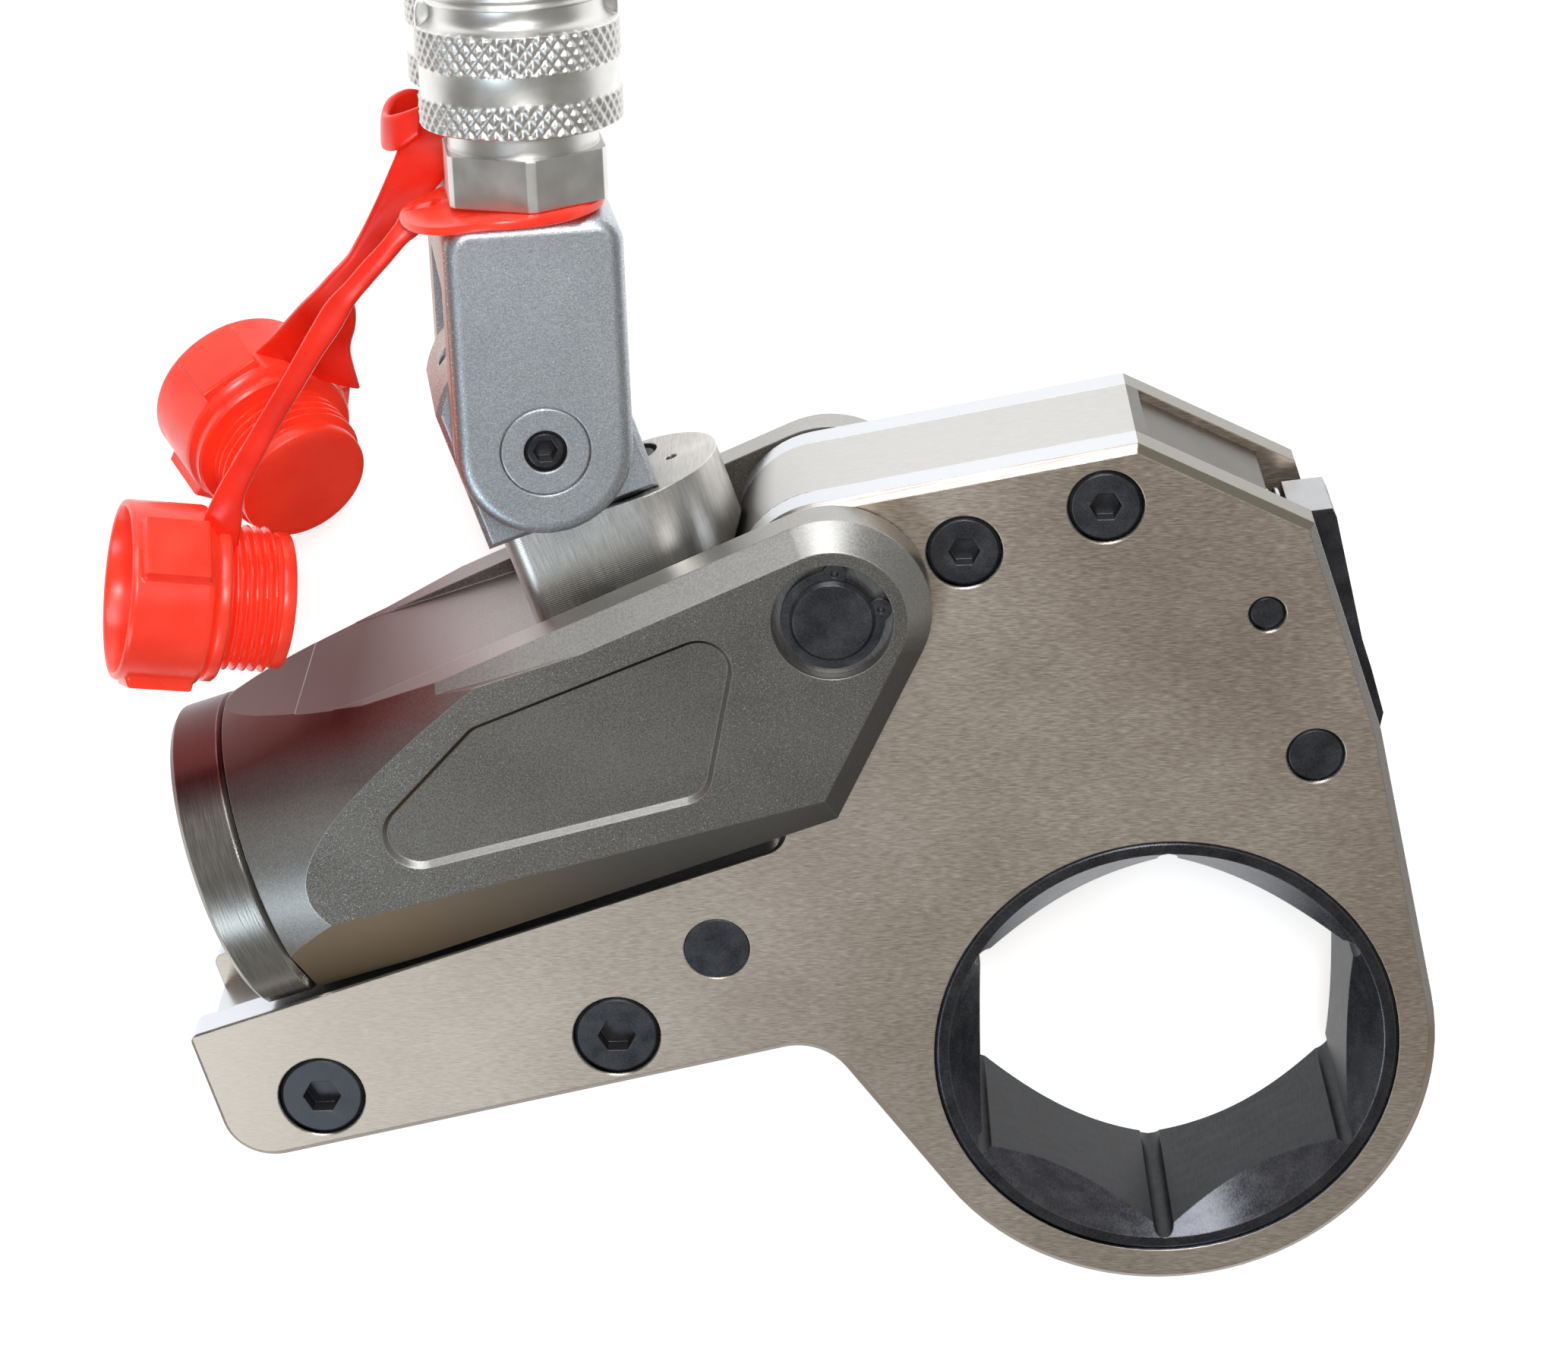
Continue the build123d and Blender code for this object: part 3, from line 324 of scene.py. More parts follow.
def head_steel():
    # Blasted flats, and a smooth turned barrel, both with painted glints; the barrel carries a painted
    # reflection of a wooden table below, painted shade under its belly, and a painted reflection of the red
    # caps above
    blast_dark, blast_light = (0.116, 0.104, 0.09), (0.19, 0.172, 0.152)
    satin_dark, satin_light = (0.34, 0.333, 0.318), (0.43, 0.424, 0.408)
    glint_color, rubbed = (0.62, 0.64, 0.64), (0.6, 0.6, 0.58)
    # Painted shade, painted wooden-table reflection and painted belly shade for the barrel
    table_shade, painted_table_wood, belly_shade = (0.035, 0.03, 0.024), (0.25, 0.168, 0.08), (0.045, 0.037, 0.03)
    cap_reflection_red = (0.085, 0.014, 0.012)
    paint = Paint("head_steel", blast_dark, 1.0, 0.45)
    grit = paint.noise(0.28)
    fine = paint.noise(0.12, detail=1.0)
    cloud = paint.noise(16, detail=3.0)
    grain = paint.mix(0.3, grit, cloud)
    # Painted glints: sparse bright specks on the flats and, fainter, on the barrel
    glint = paint.band(fine, 0.665, 0.73)
    blast = paint.mix(glint, paint.ramp(grain, [(0.4, blast_dark), (0.6, blast_light)]), glint_color)
    satin = paint.ramp(grain, [(0.4, satin_dark), (0.6, satin_light)])
    satin = paint.mix(paint.calc("MULTIPLY", glint, 0.4), satin, glint_color)
    # Painted reflection of a wooden table on faces that look down, turning to painted shade towards the
    # front
    table_reflection = paint.ramp(paint.reach(head_back), [(0.5, table_shade), (0.8, painted_table_wood)])
    barrel = paint.mix(paint.band(paint.faces(head_down), 0.2, 0.7), satin, table_reflection)
    # Painted shade on the faces that look straight down
    barrel = paint.mix(paint.band(paint.faces(head_down), 0.95, 0.995), barrel, belly_shade)
    # Painted reflection of the red caps on the barrel's upper faces
    barrel = paint.mix(painted_cap_reflection(paint, 0.3, 0.75, 0.62), barrel, cap_reflection_red)
    flat = paint.band(paint.flatness(), 0.985, 0.998)
    paint.color(paint.mix(paint.worn(0.3, 0.6), paint.mix(flat, barrel, blast), rubbed))
    rough_blast = paint.ramp(glint, [(0.0, 0.5), (1.0, 0.32)])
    paint.rough(paint.mix(flat, paint.ramp(grit, [(0.3, 0.36), (0.7, 0.42)]), rough_blast))
    paint.bump(paint.mix(0.5, grit, fine), paint.ramp(flat, [(0.0, 0.2), (1.0, 0.5)]), 0.05)
    return paint.material


def turned_steel(name, dark, light, low, high, marks=None, cap_reflection=False):
    # Turned about the head's long axis; marks is the pitch of cutter marks up its side,
    # and the last switch adds a painted reflection of the red caps
    rubbed, cap_reflection_red = (0.86, 0.86, 0.85), (0.08, 0.008, 0.008)
    paint = Paint(name, light, 1.0, low)
    ring = paint.noise(0.25, (1, 16, 16), 3.0, head_angle)
    cloud = paint.noise(9, detail=4.0)
    tone = paint.mix(0.45, ring, cloud)
    base = paint.ramp(tone, [(0.36, dark), (0.62, light)])
    height = ring
    if marks:
        cut = paint.lines(marks, head_down, 0.4)
        base = paint.mix(0.14, base, paint.ramp(cut, [(0.2, 0.05), (0.8, 0.95)]), "OVERLAY")
        height = paint.mix(0.75, ring, cut)
    if cap_reflection:
        # Painted reflection of the red caps on the upper faces
        base = paint.mix(painted_cap_reflection(paint, 0.1, 0.5, 0.65), base, cap_reflection_red)
    paint.color(paint.mix(paint.worn(0.35, 0.6), base, rubbed))
    paint.rough(paint.ramp(tone, [(0.3, low), (0.75, high)]))
    paint.bump(height, 0.4, 0.04)
    return paint.material


def black_oxide(name, ground_top=False):
    # Blackened steel, rubbed grey along its edges; ground_top bares the faces that look up
    black, faded, bare = (0.024, 0.024, 0.028), (0.056, 0.057, 0.064), (0.11, 0.11, 0.116)
    ground, rubbed = (0.42, 0.43, 0.44), (0.3, 0.3, 0.31)
    paint = Paint(name, black, 0.6, 0.35)
    wear = paint.noise(3.5, detail=5.0)
    grain = paint.noise(0.25)
    tone = paint.mix(0.4, wear, grain)
    base = paint.ramp(tone, [(0.35, black), (0.62, faded), (0.74, bare)])
    edge = paint.worn(0.22, paint.ramp(wear, [(0.4, 0.1), (0.65, 0.7)]))
    if ground_top:
        base = paint.mix(paint.band(paint.faces(pawl_top), 0.8, 0.95), base, ground)
    paint.color(paint.mix(edge, base, rubbed))
    paint.rough(paint.ramp(tone, [(0.35, 0.26), (0.7, 0.46)]))
    paint.bump(grain, 0.25, 0.03)
    return paint.material


def ratchet_black():
    # Blackened wheel: dull hexagon walls, a lighter bluish lead-in cone, dark rim
    wall_dark, wall_light = (0.028, 0.029, 0.031), (0.072, 0.075, 0.08)
    cone_dark, cone_light = (0.07, 0.072, 0.085), (0.16, 0.162, 0.18)
    rim_dark, rim_light = (0.03, 0.03, 0.034), (0.08, 0.08, 0.088)
    rubbed = (0.34, 0.34, 0.36)
    paint = Paint("ratchet_black", wall_dark, 0.8, 0.32)
    wear = paint.noise(4, (1, 1, 0.4), 5.0)
    grain = paint.noise(0.3, (1, 1, 8), 3.0)
    tone = paint.mix(0.5, wear, grain)
    sloping = paint.band(paint.flatness(), 0.05, 0.15)
    level = paint.band(paint.flatness(), 0.9, 0.97)
    wall = paint.ramp(tone, [(0.36, wall_dark), (0.66, wall_light)])
    cone = paint.ramp(tone, [(0.36, cone_dark), (0.7, cone_light)])
    rim = paint.ramp(tone, [(0.36, rim_dark), (0.7, rim_light)])
    base = paint.mix(level, paint.mix(sloping, wall, cone), rim)
    paint.color(paint.mix(paint.worn(0.3, 0.5), base, rubbed))
    wall_rough = paint.ramp(tone, [(0.3, 0.4), (0.7, 0.55)])
    cone_rough = paint.ramp(tone, [(0.3, 0.18), (0.7, 0.32)])
    paint.rough(paint.mix(sloping, wall_rough, cone_rough))
    paint.bump(grain, 0.3, 0.03)
    return paint.material


def zinc():
    # Bright plated couplers with faint turning marks
    dark, light, rubbed = (0.6, 0.59, 0.565), (0.72, 0.715, 0.69), (0.95, 0.95, 0.95)
    paint = Paint("bright_zinc", light, 1.0, 0.22)
    coupler_axis = (block.to_3x3() @ Vector((0, 1, 0))).normalized()
    ring = paint.lines(0.31, coupler_axis, 0.6)
    cloud = paint.noise(4, detail=4.0)
    speck = paint.noise(0.4)
    paint.color(paint.mix(paint.worn(0.3, 0.7), paint.ramp(cloud, [(0.3, dark), (0.7, light)]), rubbed))
    paint.rough(paint.ramp(paint.mix(0.3, cloud, speck), [(0.35, 0.34), (0.7, 0.42)]))
    paint.bump(paint.mix(0.6, ring, cloud), 0.04, 0.02)
    return paint.material


def red_moulding(name, dark, light, glow):
    # Soft plastic; the glow stands in for light that passes through it
    paint = Paint(name, light, 0.0, 0.3)
    cloud = paint.noise(7)
    grain = paint.noise(4, detail=0.0)
    paint.color(paint.ramp(cloud, [(0.3, dark), (0.7, light)]))
    paint.rough(paint.ramp(grain, [(0.3, 0.26), (0.75, 0.38)]))
    light_depth = (4 * MM, 0.9 * MM, 0.4 * MM)
    shader = paint.shader
    shader.inputs["Subsurface Weight"].default_value = 0.3
    shader.inputs["Subsurface Radius"].default_value = light_depth
    shader.inputs["Subsurface Scale"].default_value = 1.0
    shader.inputs["Emission Color"].default_value = (*light, 1)
    shader.inputs["Emission Strength"].default_value = glow
    paint.bump(grain, 0.2, 0.3)
    return paint.material


def rubber():
    # Seals: dull black with a fine grain
    dark, light = (0.014, 0.014, 0.014), (0.035, 0.035, 0.035)
    paint = Paint("seal_rubber", dark, 0.0, 0.6)
    grain = paint.noise(0.4, detail=3.0)
    paint.color(paint.ramp(grain, [(0.35, dark), (0.7, light)]))
    paint.bump(grain, 0.2, 0.04)
    return paint.material


def bronze():
    # Bearing bronze of the gland and the bush
    dark, light = (0.48, 0.31, 0.12), (0.72, 0.5, 0.22)
    paint = Paint("bronze", dark, 1.0, 0.35)
    cloud = paint.noise(3, detail=4.0)
    paint.color(paint.ramp(cloud, [(0.3, dark), (0.7, light)]))
    paint.bump(cloud, 0.1, 0.04)
    return paint.material


# One finish for each material slot of the record, then the nodes whose surface differs from it
finishes = {
    "plate_steel": plate_steel(),
    "blasted_steel": head_steel(),
    "turned_steel": turned_steel("turned_steel", (0.42, 0.415, 0.4), (0.6, 0.605, 0.6), 0.24, 0.34),
    "swivel_steel": swivel_steel(),
    "zinc_steel": zinc(),
    "black_steel": black_oxide("black_oxide"),
    "ground_steel": turned_steel("ground_steel", (0.42, 0.42, 0.42), (0.7, 0.7, 0.7), 0.2, 0.35),
    "bronze": bronze(),
    "seal_rubber": rubber(),
    "red_plastic": red_moulding("red_moulding", (0.8, 0.028, 0.012), (0.92, 0.05, 0.02), 0.16),
}
strap_red = red_moulding("red_strap", (0.62, 0.012, 0.004), (0.8, 0.02, 0.006), 0.12)
slot_of = {part["node"]: part["material_slot"] for part in frame["record"]["subparts"]}
for name, node in nodes.items():
    node.data.materials.clear()
    node.data.materials.append(finishes[slot_of[name]])
bush_steel = turned_steel("bush_steel", (0.12, 0.118, 0.115), (0.19, 0.187, 0.182), 0.36, 0.48)
own_finishes = {
    "ratchet_wheel": ratchet_black(),
    "holding_pawl": black_oxide("pawl_black", ground_top=True),
    "end_cap": turned_steel("cap_steel", (0.26, 0.25, 0.23), (0.37, 0.355, 0.325), 0.24, 0.34, cap_reflection=True),
    "swivel_base": turned_steel(
        "milled_steel", (0.5, 0.485, 0.46), (0.68, 0.665, 0.635), 0.3, 0.4, marks=0.3),
    "ear_bush_near": bush_steel,
    "ear_bush_far": bush_steel,
    "top_spacer": spacer_steel(),
}
for name, finish in own_finishes.items():
    nodes[name].data.materials[0] = finish


# Pieces made here: rings of points in a frame of the tool, joined into a skin
def skin(name, rings, place, slot, body, replaced, loop=False, sharp=40.0):
    count = len(rings[0])
    points = [place @ Vector(point) * MM for ring in rings for point in ring]
    faces = []
    for row in range(len(rings) if loop else len(rings) - 1):
        start = row * count
        next_start = (row + 1) % len(rings) * count
        for spoke in range(count):
            beside = (spoke + 1) % count
            faces.append((start + spoke, start + beside, next_start + beside, next_start + spoke))
    if not loop:
        faces.append(tuple(reversed(range(count))))
        faces.append(tuple(range((len(rings) - 1) * count, len(rings) * count)))
    mesh = bpy.data.meshes.new(name)
    mesh.from_pydata(points, [], faces)
    mesh.shade_smooth()
    mesh.set_sharp_from_angle(angle=math.radians(sharp))
    mesh.materials.append(finishes[slot])
    piece = link(bpy.data.objects.new(name, mesh))
    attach(piece, body)
    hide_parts(replaced)
    return piece


def wave(turns):
    # 0 at whole turns, 1 halfway between them
    return 1 - abs(2 * (turns % 1) - 1)


def swell(turns):
    # 1 at whole turns, 0 halfway between them, without corners
    return 0.5 + 0.5 * math.cos(2 * math.pi * turns)


def steps(start, stop, size):
    count = max(1, round((stop - start) / size))
    return [start + (stop - start) * index / count for index in range(count + 1)]


def smooth_step(value, low, high):
    share = min(1.0, max(0.0, (value - low) / (high - low)))
    return share * share * (3 - 2 * share)


def spoke_angles(count):
    return [2 * math.pi * spoke / count for spoke in range(count)]


def turned_rings(profile, spokes, shape):
    # A profile of (radius, height) pairs turned about Y; the shape raises or lowers each point
    rings = []
    for radius, height in profile:
        ring = []
        for angle in spoke_angles(spokes):
            reach = radius + shape(angle, radius, height)
            ring.append((reach * math.cos(angle), height, -reach * math.sin(angle)))
        rings.append(ring)
    return rings


# Coupler collars: two knurled bands, a bright groove with two lugs, and a fine thread
collar_reach = 13.9
collar_bore = 9.2
collar_foot = 44.3
collar_top = 61.5
knurl_count = 46
knurl_spokes = 12
knurl_pitch = 2.3
knurl_depth = 0.42
knurl_floor = 13.0
knurl_step = 0.14
band_low = (44.8, 48.5)
band_high = (53.1, 57.8)
groove_low = 58.2
groove_high = 61.3
groove_reach = 11.5
lug_half_width = (1.3, 1.7)
lug_reach = collar_reach - 0.25
lug_slope_start = 60.4
lug_slope = 0.5
thread_reach = 12.5
thread_margin = 0.1
thread_bore = 11.1
thread_start = 61.2
thread_taper_start = 74.3
thread_end = 75.0
thread_pitch = 1.2
thread_depth = 0.5
thread_step = 0.15
thread_spokes = 144


def knurl(angle, radius, height):
    in_band = band_low[0] <= height <= band_low[1] or band_high[0] <= height <= band_high[1]
    if not in_band or radius < knurl_floor:
        return 0.0
    across = knurl_count * angle / (2 * math.pi)
    along = height / knurl_pitch
    return -knurl_depth * max(swell(across + along), swell(across - along))


def lugs(angle, radius, height):
    # Two lugs stand across the groove at the sides
    width = abs(math.sin(angle)) * collar_reach
    if height < groove_low or height > groove_high or radius < groove_reach:
        return 0.0
    top = lug_reach - max(0.0, height - lug_slope_start) * lug_slope
    return (top - radius) * (1 - smooth_step(width, *lug_half_width))


def grip_shape(angle, radius, height):
    return knurl(angle, radius, height) + lugs(angle, radius, height)


def thread(angle, radius, height):
    if radius < thread_reach - thread_margin or height < thread_start:
        return 0.0
    return -thread_depth * (1 - wave(height / thread_pitch - angle / (2 * math.pi)))


def collar(side, place):
    grip = [(collar_bore, collar_foot), (13.2, collar_foot), (13.7, collar_foot + 0.25)]
    grip += [(collar_reach, height) for height in steps(*band_low, knurl_step)]
    grip += [(13.62, 48.7), (13.55, 49.1), (13.55, 51.0), (13.55, 52.6), (13.66, 52.95)]
    grip += [(collar_reach, height) for height in steps(*band_high, knurl_step)]
    grip += [(13.7, 58.05), (13.0, 58.35), (12.3, 58.8), (11.95, 59.3), (11.85, 60.0), (11.9, 60.8),
             (12.0, groove_high), (11.6, collar_top), (collar_bore, collar_top)]
    sleeve = [(thread_bore, thread_start), (11.9, thread_start)]
    sleeve += [(thread_reach - max(0.0, height - thread_taper_start), height)
               for height in steps(groove_high, thread_end, thread_step)]
    sleeve += [(11.5, thread_end), (thread_bore, 74.7)]
    body, replaced = f"collar_{side}", f"coupler_collar_{side}"
    grip_rings = turned_rings(grip, knurl_count * knurl_spokes, grip_shape)
    sleeve_rings = turned_rings(sleeve, thread_spokes, thread)
    skin(f"coupler_grip_{side}", grip_rings, place, "zinc_steel", body, replaced, loop=True, sharp=60)
    skin(f"coupler_thread_{side}", sleeve_rings, place, "zinc_steel", body, replaced, loop=True, sharp=50)


collar("near", near_coupler)
collar("far", far_coupler)

# Dust caps: one flexible moulding each, of cap, strap and loop
cup_reach = 12.7
cup_length = 11.4
cup_spokes = 180
flange_reach = 12.1
plug_start = 14.0
plug_reach = 9.2
plug_end = 23.6
ridge_end = 21.5
ridge_step = 0.15
ridge_pitch = 1.35
ridge_height = 1.1
ridge_flank = (0.35, 0.8)
ridge_run_in = (14.6, 15.0)
ridge_run_out = (20.9, 21.3)
pad_flat = 13.5
pad_angles = (90, 210, 330)
pad_edge = (18.6, 20.6)
pad_foot = (1.2, 1.9)
pad_head = (10.5, 11.0)


def pad(angle, spot):
    # Three flat grip pads stand out from the cup
    rise = 0.0
    for middle in pad_angles:
        off = (math.degrees(angle) - middle + 180) % 360 - 180
        inside = 1 - smooth_step(abs(off), *pad_edge)
        inside *= smooth_step(spot, *pad_foot) * (1 - smooth_step(spot, *pad_head))
        if inside > 0:
            rise += inside * (pad_flat / math.cos(math.radians(off)) - cup_reach)
    return rise


def plug_ridge(angle, spot):
    # A coarse moulded thread that fades at both ends
    ridge = smooth_step(wave((spot - plug_start) / ridge_pitch - angle / (2 * math.pi)), *ridge_flank)
    return ridge_height * ridge * smooth_step(spot, *ridge_run_in) * (1 - smooth_step(spot, *ridge_run_out))


def cap_rings():
    # Turned about X: up the inside of the cup, over its rim and wall, then flange and plug
    profile = [(0.3, 9.8), (9.0, 9.8), (10.9, 9.4), (11.2, 8.8), (11.2, 3.0), (11.3, 0.9), (11.7, 0.15),
               (12.1, 0.0), (12.5, 0.2)]
    profile += [(cup_reach, spot) for spot in steps(0.6, cup_length - 0.5, 0.3)]
    profile += [(12.55, cup_length), (11.9, cup_length + 0.5), (11.6, cup_length + 0.7),
                (11.9, cup_length + 0.85), (flange_reach, cup_length + 1.15),
                (flange_reach, plug_start - 0.35), (11.8, plug_start), (10.2, plug_start + 0.1),
                (9.5, plug_start + 0.3)]
    profile += [(plug_reach, spot) for spot in steps(plug_start + 0.5, ridge_end, ridge_step)]
    profile += [(9.55, 21.7), (9.65, 22.0), (9.65, 23.2), (9.5, 23.45), (9.1, plug_end),
                (8.0, plug_end + 0.05), (4.0, plug_end + 0.1), (0.3, plug_end + 0.1)]
    rings = []
    for radius, spot in profile:
        ring = []
        for angle in spoke_angles(cup_spokes):
            reach = radius
            if radius == cup_reach:
                reach += pad(angle, spot)
            if radius == plug_reach:
                reach += plug_ridge(angle, spot)
            ring.append((spot, reach * math.cos(angle), reach * math.sin(angle)))
        rings.append(ring)
    return rings


def cap_place(mouth, turn, dip, roll):
    # Millimetres and degrees; the cap's own axis is X, from its mouth to its plug
    place = Matrix.Translation(mouth) @ Matrix.Rotation(math.radians(turn), 4, "Z")
    place = place @ Matrix.Rotation(math.radians(dip), 4, "Y")
    return place @ Matrix.Rotation(math.radians(roll), 4, "X")


def curve_point(points, index, share):
    # Catmull-Rom through the points, so that a few given places give a smooth run
    before = points[max(0, index - 1)]
    start = points[index]
    stop = points[index + 1]
    after = points[min(len(points) - 1, index + 2)]
    square = share * share
    cube = square * share
    return [0.5 * (2 * s + (e - b) * share + (2 * b - 5 * s + 4 * e - a) * square
                   + (3 * s - b - 3 * e + a) * cube)
            for b, s, e, a in zip(before, start, stop, after)]


strap_corners = 28
strap_step = 0.125
strap_side_power = 0.5
strap_face_power = 0.6
rib_half_width = (0.5, 0.9)


def signed_power(value, power):
    return math.copysign(abs(value) ** power, value)


def strap(name, path, thickness, replaced, rib=0.0):
    # A flat strap: the path's rows are the places of its two edges, given in millimetres
    rows = []
    for index in range(len(path) - 1):
        for share in steps(0, 1, strap_step)[:-1]:
            rows.append(curve_point(path, index, share))
    rows.append(list(path[-1]))
    centres = [(Vector(row[:3]) + Vector(row[3:])) / 2 for row in rows]
    rings = []
    for index, row in enumerate(rows):
        tangent = centres[min(index + 1, len(rows) - 1)] - centres[max(index - 1, 0)]
        half = (Vector(row[3:]) - Vector(row[:3])) / 2
        out = half.cross(tangent).normalized()
        ring = []
        for angle in spoke_angles(strap_corners):
            wide = signed_power(math.cos(angle), strap_side_power)
            high = signed_power(math.sin(angle), strap_face_power) * thickness / 2
            high += math.copysign(rib, high) * (1 - smooth_step(abs(wide) * half.length, *rib_half_width))
            ring.append(centres[index] + half * wide + out * high)
        rings.append(ring)
    piece = skin(name, rings, Matrix.Identity(4), "red_plastic", "manifold", replaced)
    piece.data.materials[0] = strap_red


loop_inner = 8.4
loop_outer = 14.1
loop_spokes = 120


def loop_rings(shift, droop):
    # A flat ring round the coupler; its rim is shifted to the left and droops there
    profile = [(loop_inner, 32.7), (8.8, 32.5), (13.4, 32.5), (13.95, 32.75), (loop_outer, 33.3),
               (13.95, 33.8), (13.4, 34.05), (8.8, 34.05), (loop_inner, 33.9)]
    rings = []
    for angle in spoke_angles(loop_spokes):
        sag = droop * smooth_step(-math.cos(angle), 0.1, 1.0)
        ring = []
        for radius, height in profile:
            outward = smooth_step(radius, loop_inner, loop_outer)
            side = radius * math.cos(angle) - shift * outward
            ring.append((side, height - sag * outward, radius * math.sin(angle)))
        rings.append(ring)
    return rings


near_cap = cap_place(mouth=(-147.7, 80.8, 22.7), turn=-12.8, dip=16.0, roll=-52)
far_cap = cap_place(mouth=(-135.6, 96.2, -18.1), turn=-36.5, dip=-50.8, roll=-29)
for side, place in (("near", near_cap), ("far", far_cap)):
    skin(f"cap_{side}", cap_rings(), place, "red_plastic", "manifold", f"dust_cap_{side}", sharp=35)
for side, place, shift, droop in (("near", near_coupler, 3.4, 1.6), ("far", far_coupler, 1.0, 0.3)):
    rings = loop_rings(shift, droop)
    skin(f"loop_{side}", rings, place, "red_plastic", "manifold", f"dust_cap_{side}", loop=True)
strap("strap_near", [
    (-100.0, 130.6, 13.6, -95.0, 134.2, 13.6),
    (-105.1, 131.0, 14.0, -100.4, 132.6, 14.0),
    (-106.3, 130.0, 14.5, -102.8, 129.0, 14.8),
    (-108.1, 127.9, 15.2, -104.8, 127.6, 15.5),
    (-110.8, 125.3, 16.0, -107.2, 125.1, 16.4),
    (-113.3, 122.7, 16.8, -109.8, 122.5, 17.2),
    (-116.0, 120.2, 17.6, -112.1, 120.0, 18.0),
    (-118.2, 117.1, 18.4, -114.4, 116.4, 18.8),
    (-120.3, 113.8, 19.0, -117.0, 113.0, 19.4),
    (-123.1, 109.4, 19.8, -119.9, 108.7, 20.2),
    (-126.7, 104.0, 20.8, -123.6, 103.2, 21.2),
    (-130.2, 98.7, 21.8, -126.8, 97.9, 22.2),
    (-133.0, 94.4, 22.6, -128.8, 94.0, 22.8),
    (-135.0, 90.2, 22.6, -129.6, 89.9, 22.2),
    (-136.0, 85.9, 21.8, -130.9, 84.4, 21.2)], 1.9, "dust_cap_near", rib=0.2)
strap("curl_far", [
    (-97.0, 133.4, -12.4, -97.0, 138.2, -12.4),
    (-101.1, 133.9, -12.0, -100.7, 139.3, -12.0),
    (-104.0, 134.4, -11.5, -103.5, 141.4, -11.5),
    (-106.6, 134.8, -9.5, -105.8, 142.6, -9.5),
    (-108.6, 135.2, -5.5, -107.9, 142.4, -6.0),
    (-108.7, 136.2, -1.5, -108.4, 141.5, -2.0),
    (-107.8, 136.6, 1.0, -107.7, 141.7, 1.0),
    (-106.1, 137.4, 3.0, -105.5, 142.6, 3.0),
    (-103.3, 139.4, 4.0, -102.6, 143.8, 4.0)], 1.5, "dust_cap_far")
strap("strap_far", [
    (-105.2, 139.9, 0.4, -99.5, 141.4, 0.4),
    (-106.0, 138.5, 0.8, -99.3, 140.0, 0.8),
    (-107.0, 136.3, 1.5, -98.8, 137.5, 1.5),
    (-109.2, 131.8, 1.8, -99.6, 134.1, 1.8),
    (-110.9, 128.5, 1.6, -102.0, 131.0, 1.6),
    (-112.4, 125.7, 1.2, -104.7, 128.2, 1.2),
    (-113.9, 123.1, 0.6, -108.0, 125.2, 0.6),
    (-115.3, 121.0, 0.0, -110.8, 122.0, 0.0),
    (-117.6, 118.6, -0.8, -113.1, 118.9, -0.8),
    (-120.2, 115.8, -1.8, -115.0, 115.4, -1.8),
    (-122.7, 113.3, -3.0, -114.8, 112.2, -3.0),
    (-124.9, 110.8, -4.4, -115.2, 109.4, -4.4),
    (-128.3, 107.0, -6.4, -116.4, 105.1, -6.4),
    (-131.2, 104.1, -8.0, -115.7, 99.0, -8.0)], 1.7, "dust_cap_far")

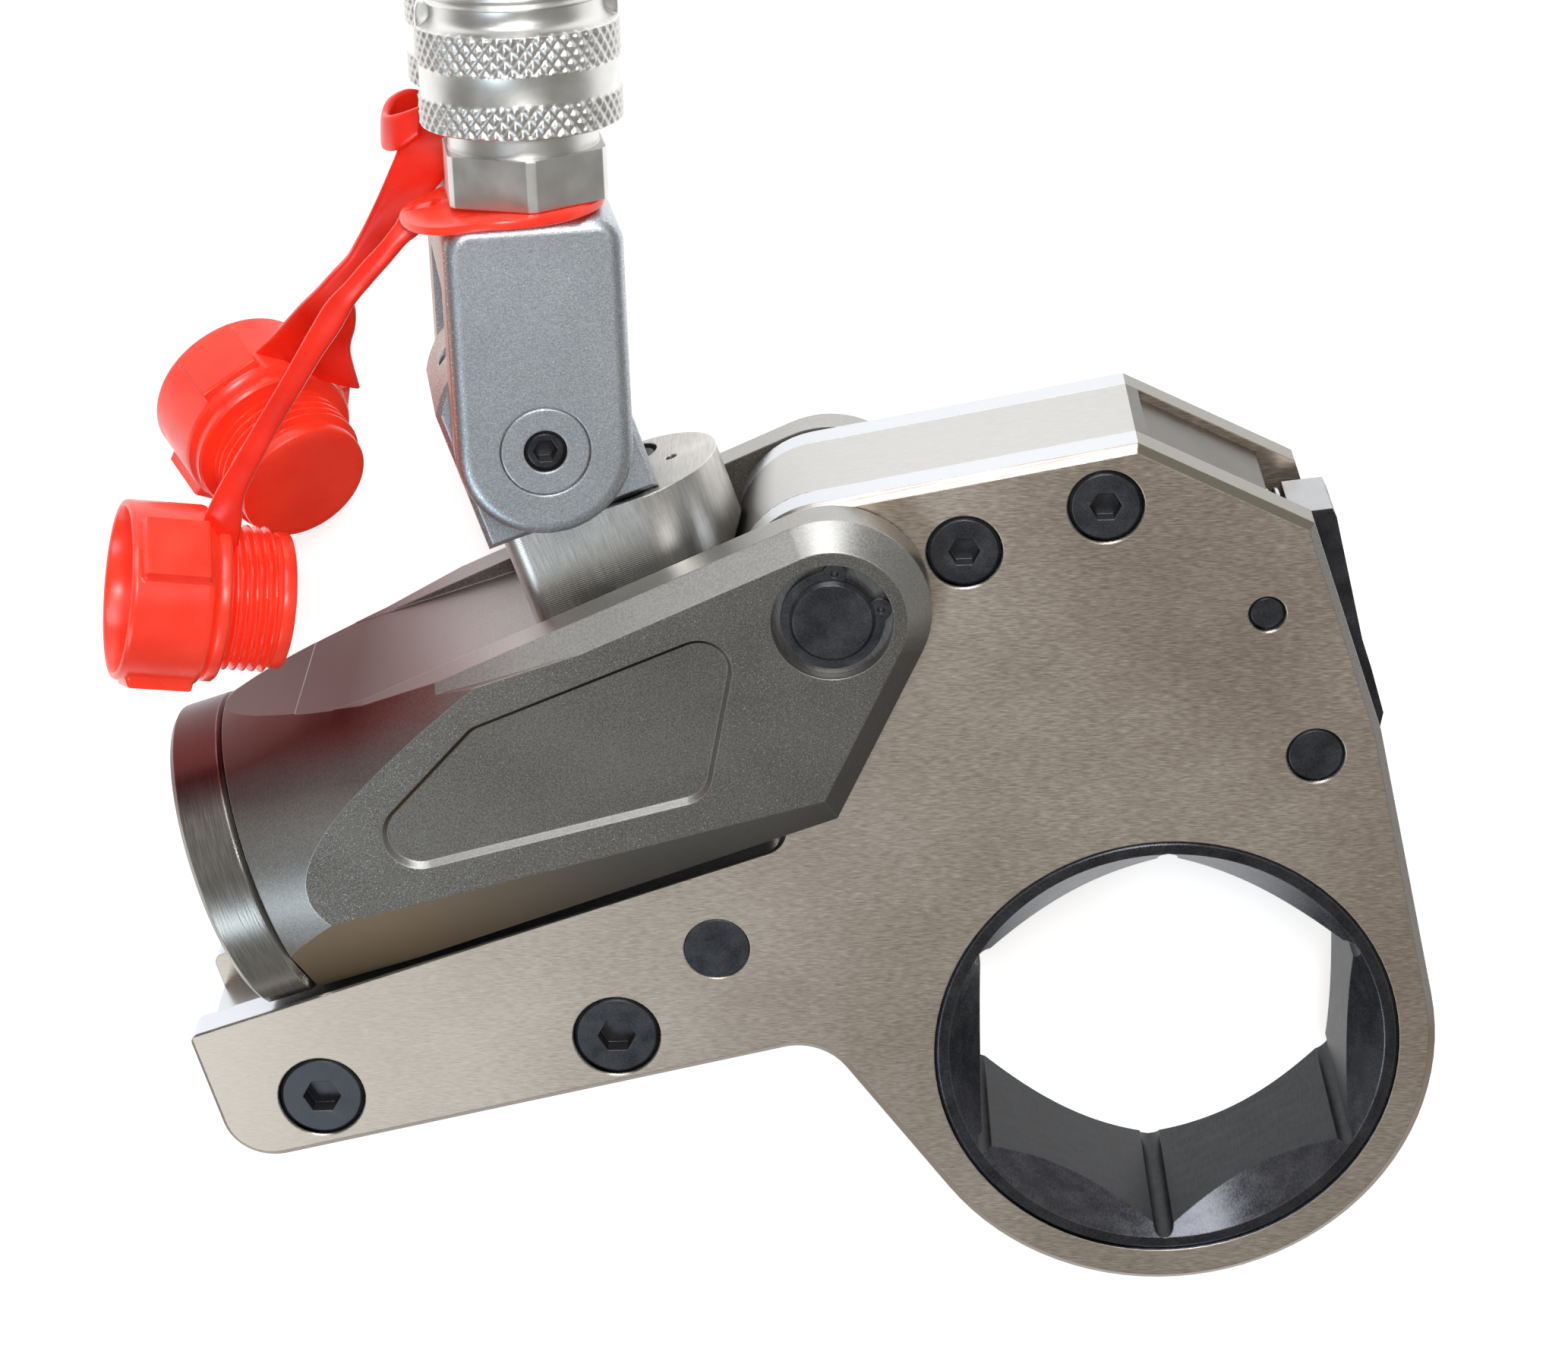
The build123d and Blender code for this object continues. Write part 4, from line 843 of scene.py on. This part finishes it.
# Floor that shows white to the camera and in mirrors, and keeps its shadow
floor_glow = 0.62
floor_reach = 3.0
floor_gap = 0.0003
floor_paint = Paint("pale_floor", (0.86, 0.86, 0.86), 0.0, 0.9)
paths = floor_paint.add("ShaderNodeLightPath")
seen = floor_paint.calc("MAXIMUM", paths.outputs["Is Camera Ray"], paths.outputs["Is Glossy Ray"])
seen = floor_paint.calc("MAXIMUM", seen, paths.outputs["Is Transmission Ray"])
glow = floor_paint.calc("MULTIPLY", seen, floor_glow)
floor_paint.shader.inputs["Emission Color"].default_value = (1, 1, 1, 1)
floor_paint.join(glow, floor_paint.shader.inputs["Emission Strength"])
floor_mesh = bpy.data.meshes.new("floor")
floor_level = cad_low.z - floor_gap
corners = [(-floor_reach, -floor_reach), (floor_reach, -floor_reach),
           (floor_reach, floor_reach), (-floor_reach, floor_reach)]
floor_mesh.from_pydata([(x, y, floor_level) for x, y in corners], [], [(0, 1, 2, 3)])
floor = link(bpy.data.objects.new("floor", floor_mesh))
floor.data.materials.append(floor_paint.material)

# White to the camera; a weaker, slightly warm light for everything else
sky_strength = 0.3
world = bpy.data.worlds.new("studio")
bpy.context.scene.world = world
world.use_nodes = True
sky = world.node_tree.nodes
background = sky["Background"]
background.inputs["Color"].default_value = (1.0, 0.97, 0.93, 1)
background.inputs["Strength"].default_value = sky_strength
ray = sky.new("ShaderNodeLightPath")
plain = sky.new("ShaderNodeBackground")
plain.inputs["Color"].default_value = (1, 1, 1, 1)
plain.inputs["Strength"].default_value = 1.0
blend_sky = sky.new("ShaderNodeMixShader")
world.node_tree.links.new(ray.outputs["Is Camera Ray"], blend_sky.inputs[0])
world.node_tree.links.new(background.outputs[0], blend_sky.inputs[1])
world.node_tree.links.new(plain.outputs[0], blend_sky.inputs[2])
world.node_tree.links.new(blend_sky.outputs[0], sky["World Output"].inputs["Surface"])


def lamp(name, place, target, size, power, color=(1, 1, 1)):
    data = bpy.data.lights.new(name, "AREA")
    data.shape = "DISK"
    data.size = size
    data.energy = power
    data.color = color
    made = link(bpy.data.objects.new(name, data))
    made.location = place
    aim = Vector(target) - Vector(place)
    made.rotation_mode = "QUATERNION"
    made.rotation_quaternion = aim.to_track_quat("-Z", "Y")


# Each lamp: place and target in metres, size in metres, power in watts, colour
lamp("window", (-0.15, 0.95, 0.55), (-0.05, 0.05, 0), 0.65, 5.4, (0.96, 0.98, 1.0))
lamp("left_soft", (-0.5, -0.56, 0.95), (-0.08, 0.03, 0), 0.45, 3.4, (0.74, 0.88, 1.0))
lamp("flash", (-0.02, 0.36, 0.62), (-0.05, 0.06, 0), 0.12, 1.9)
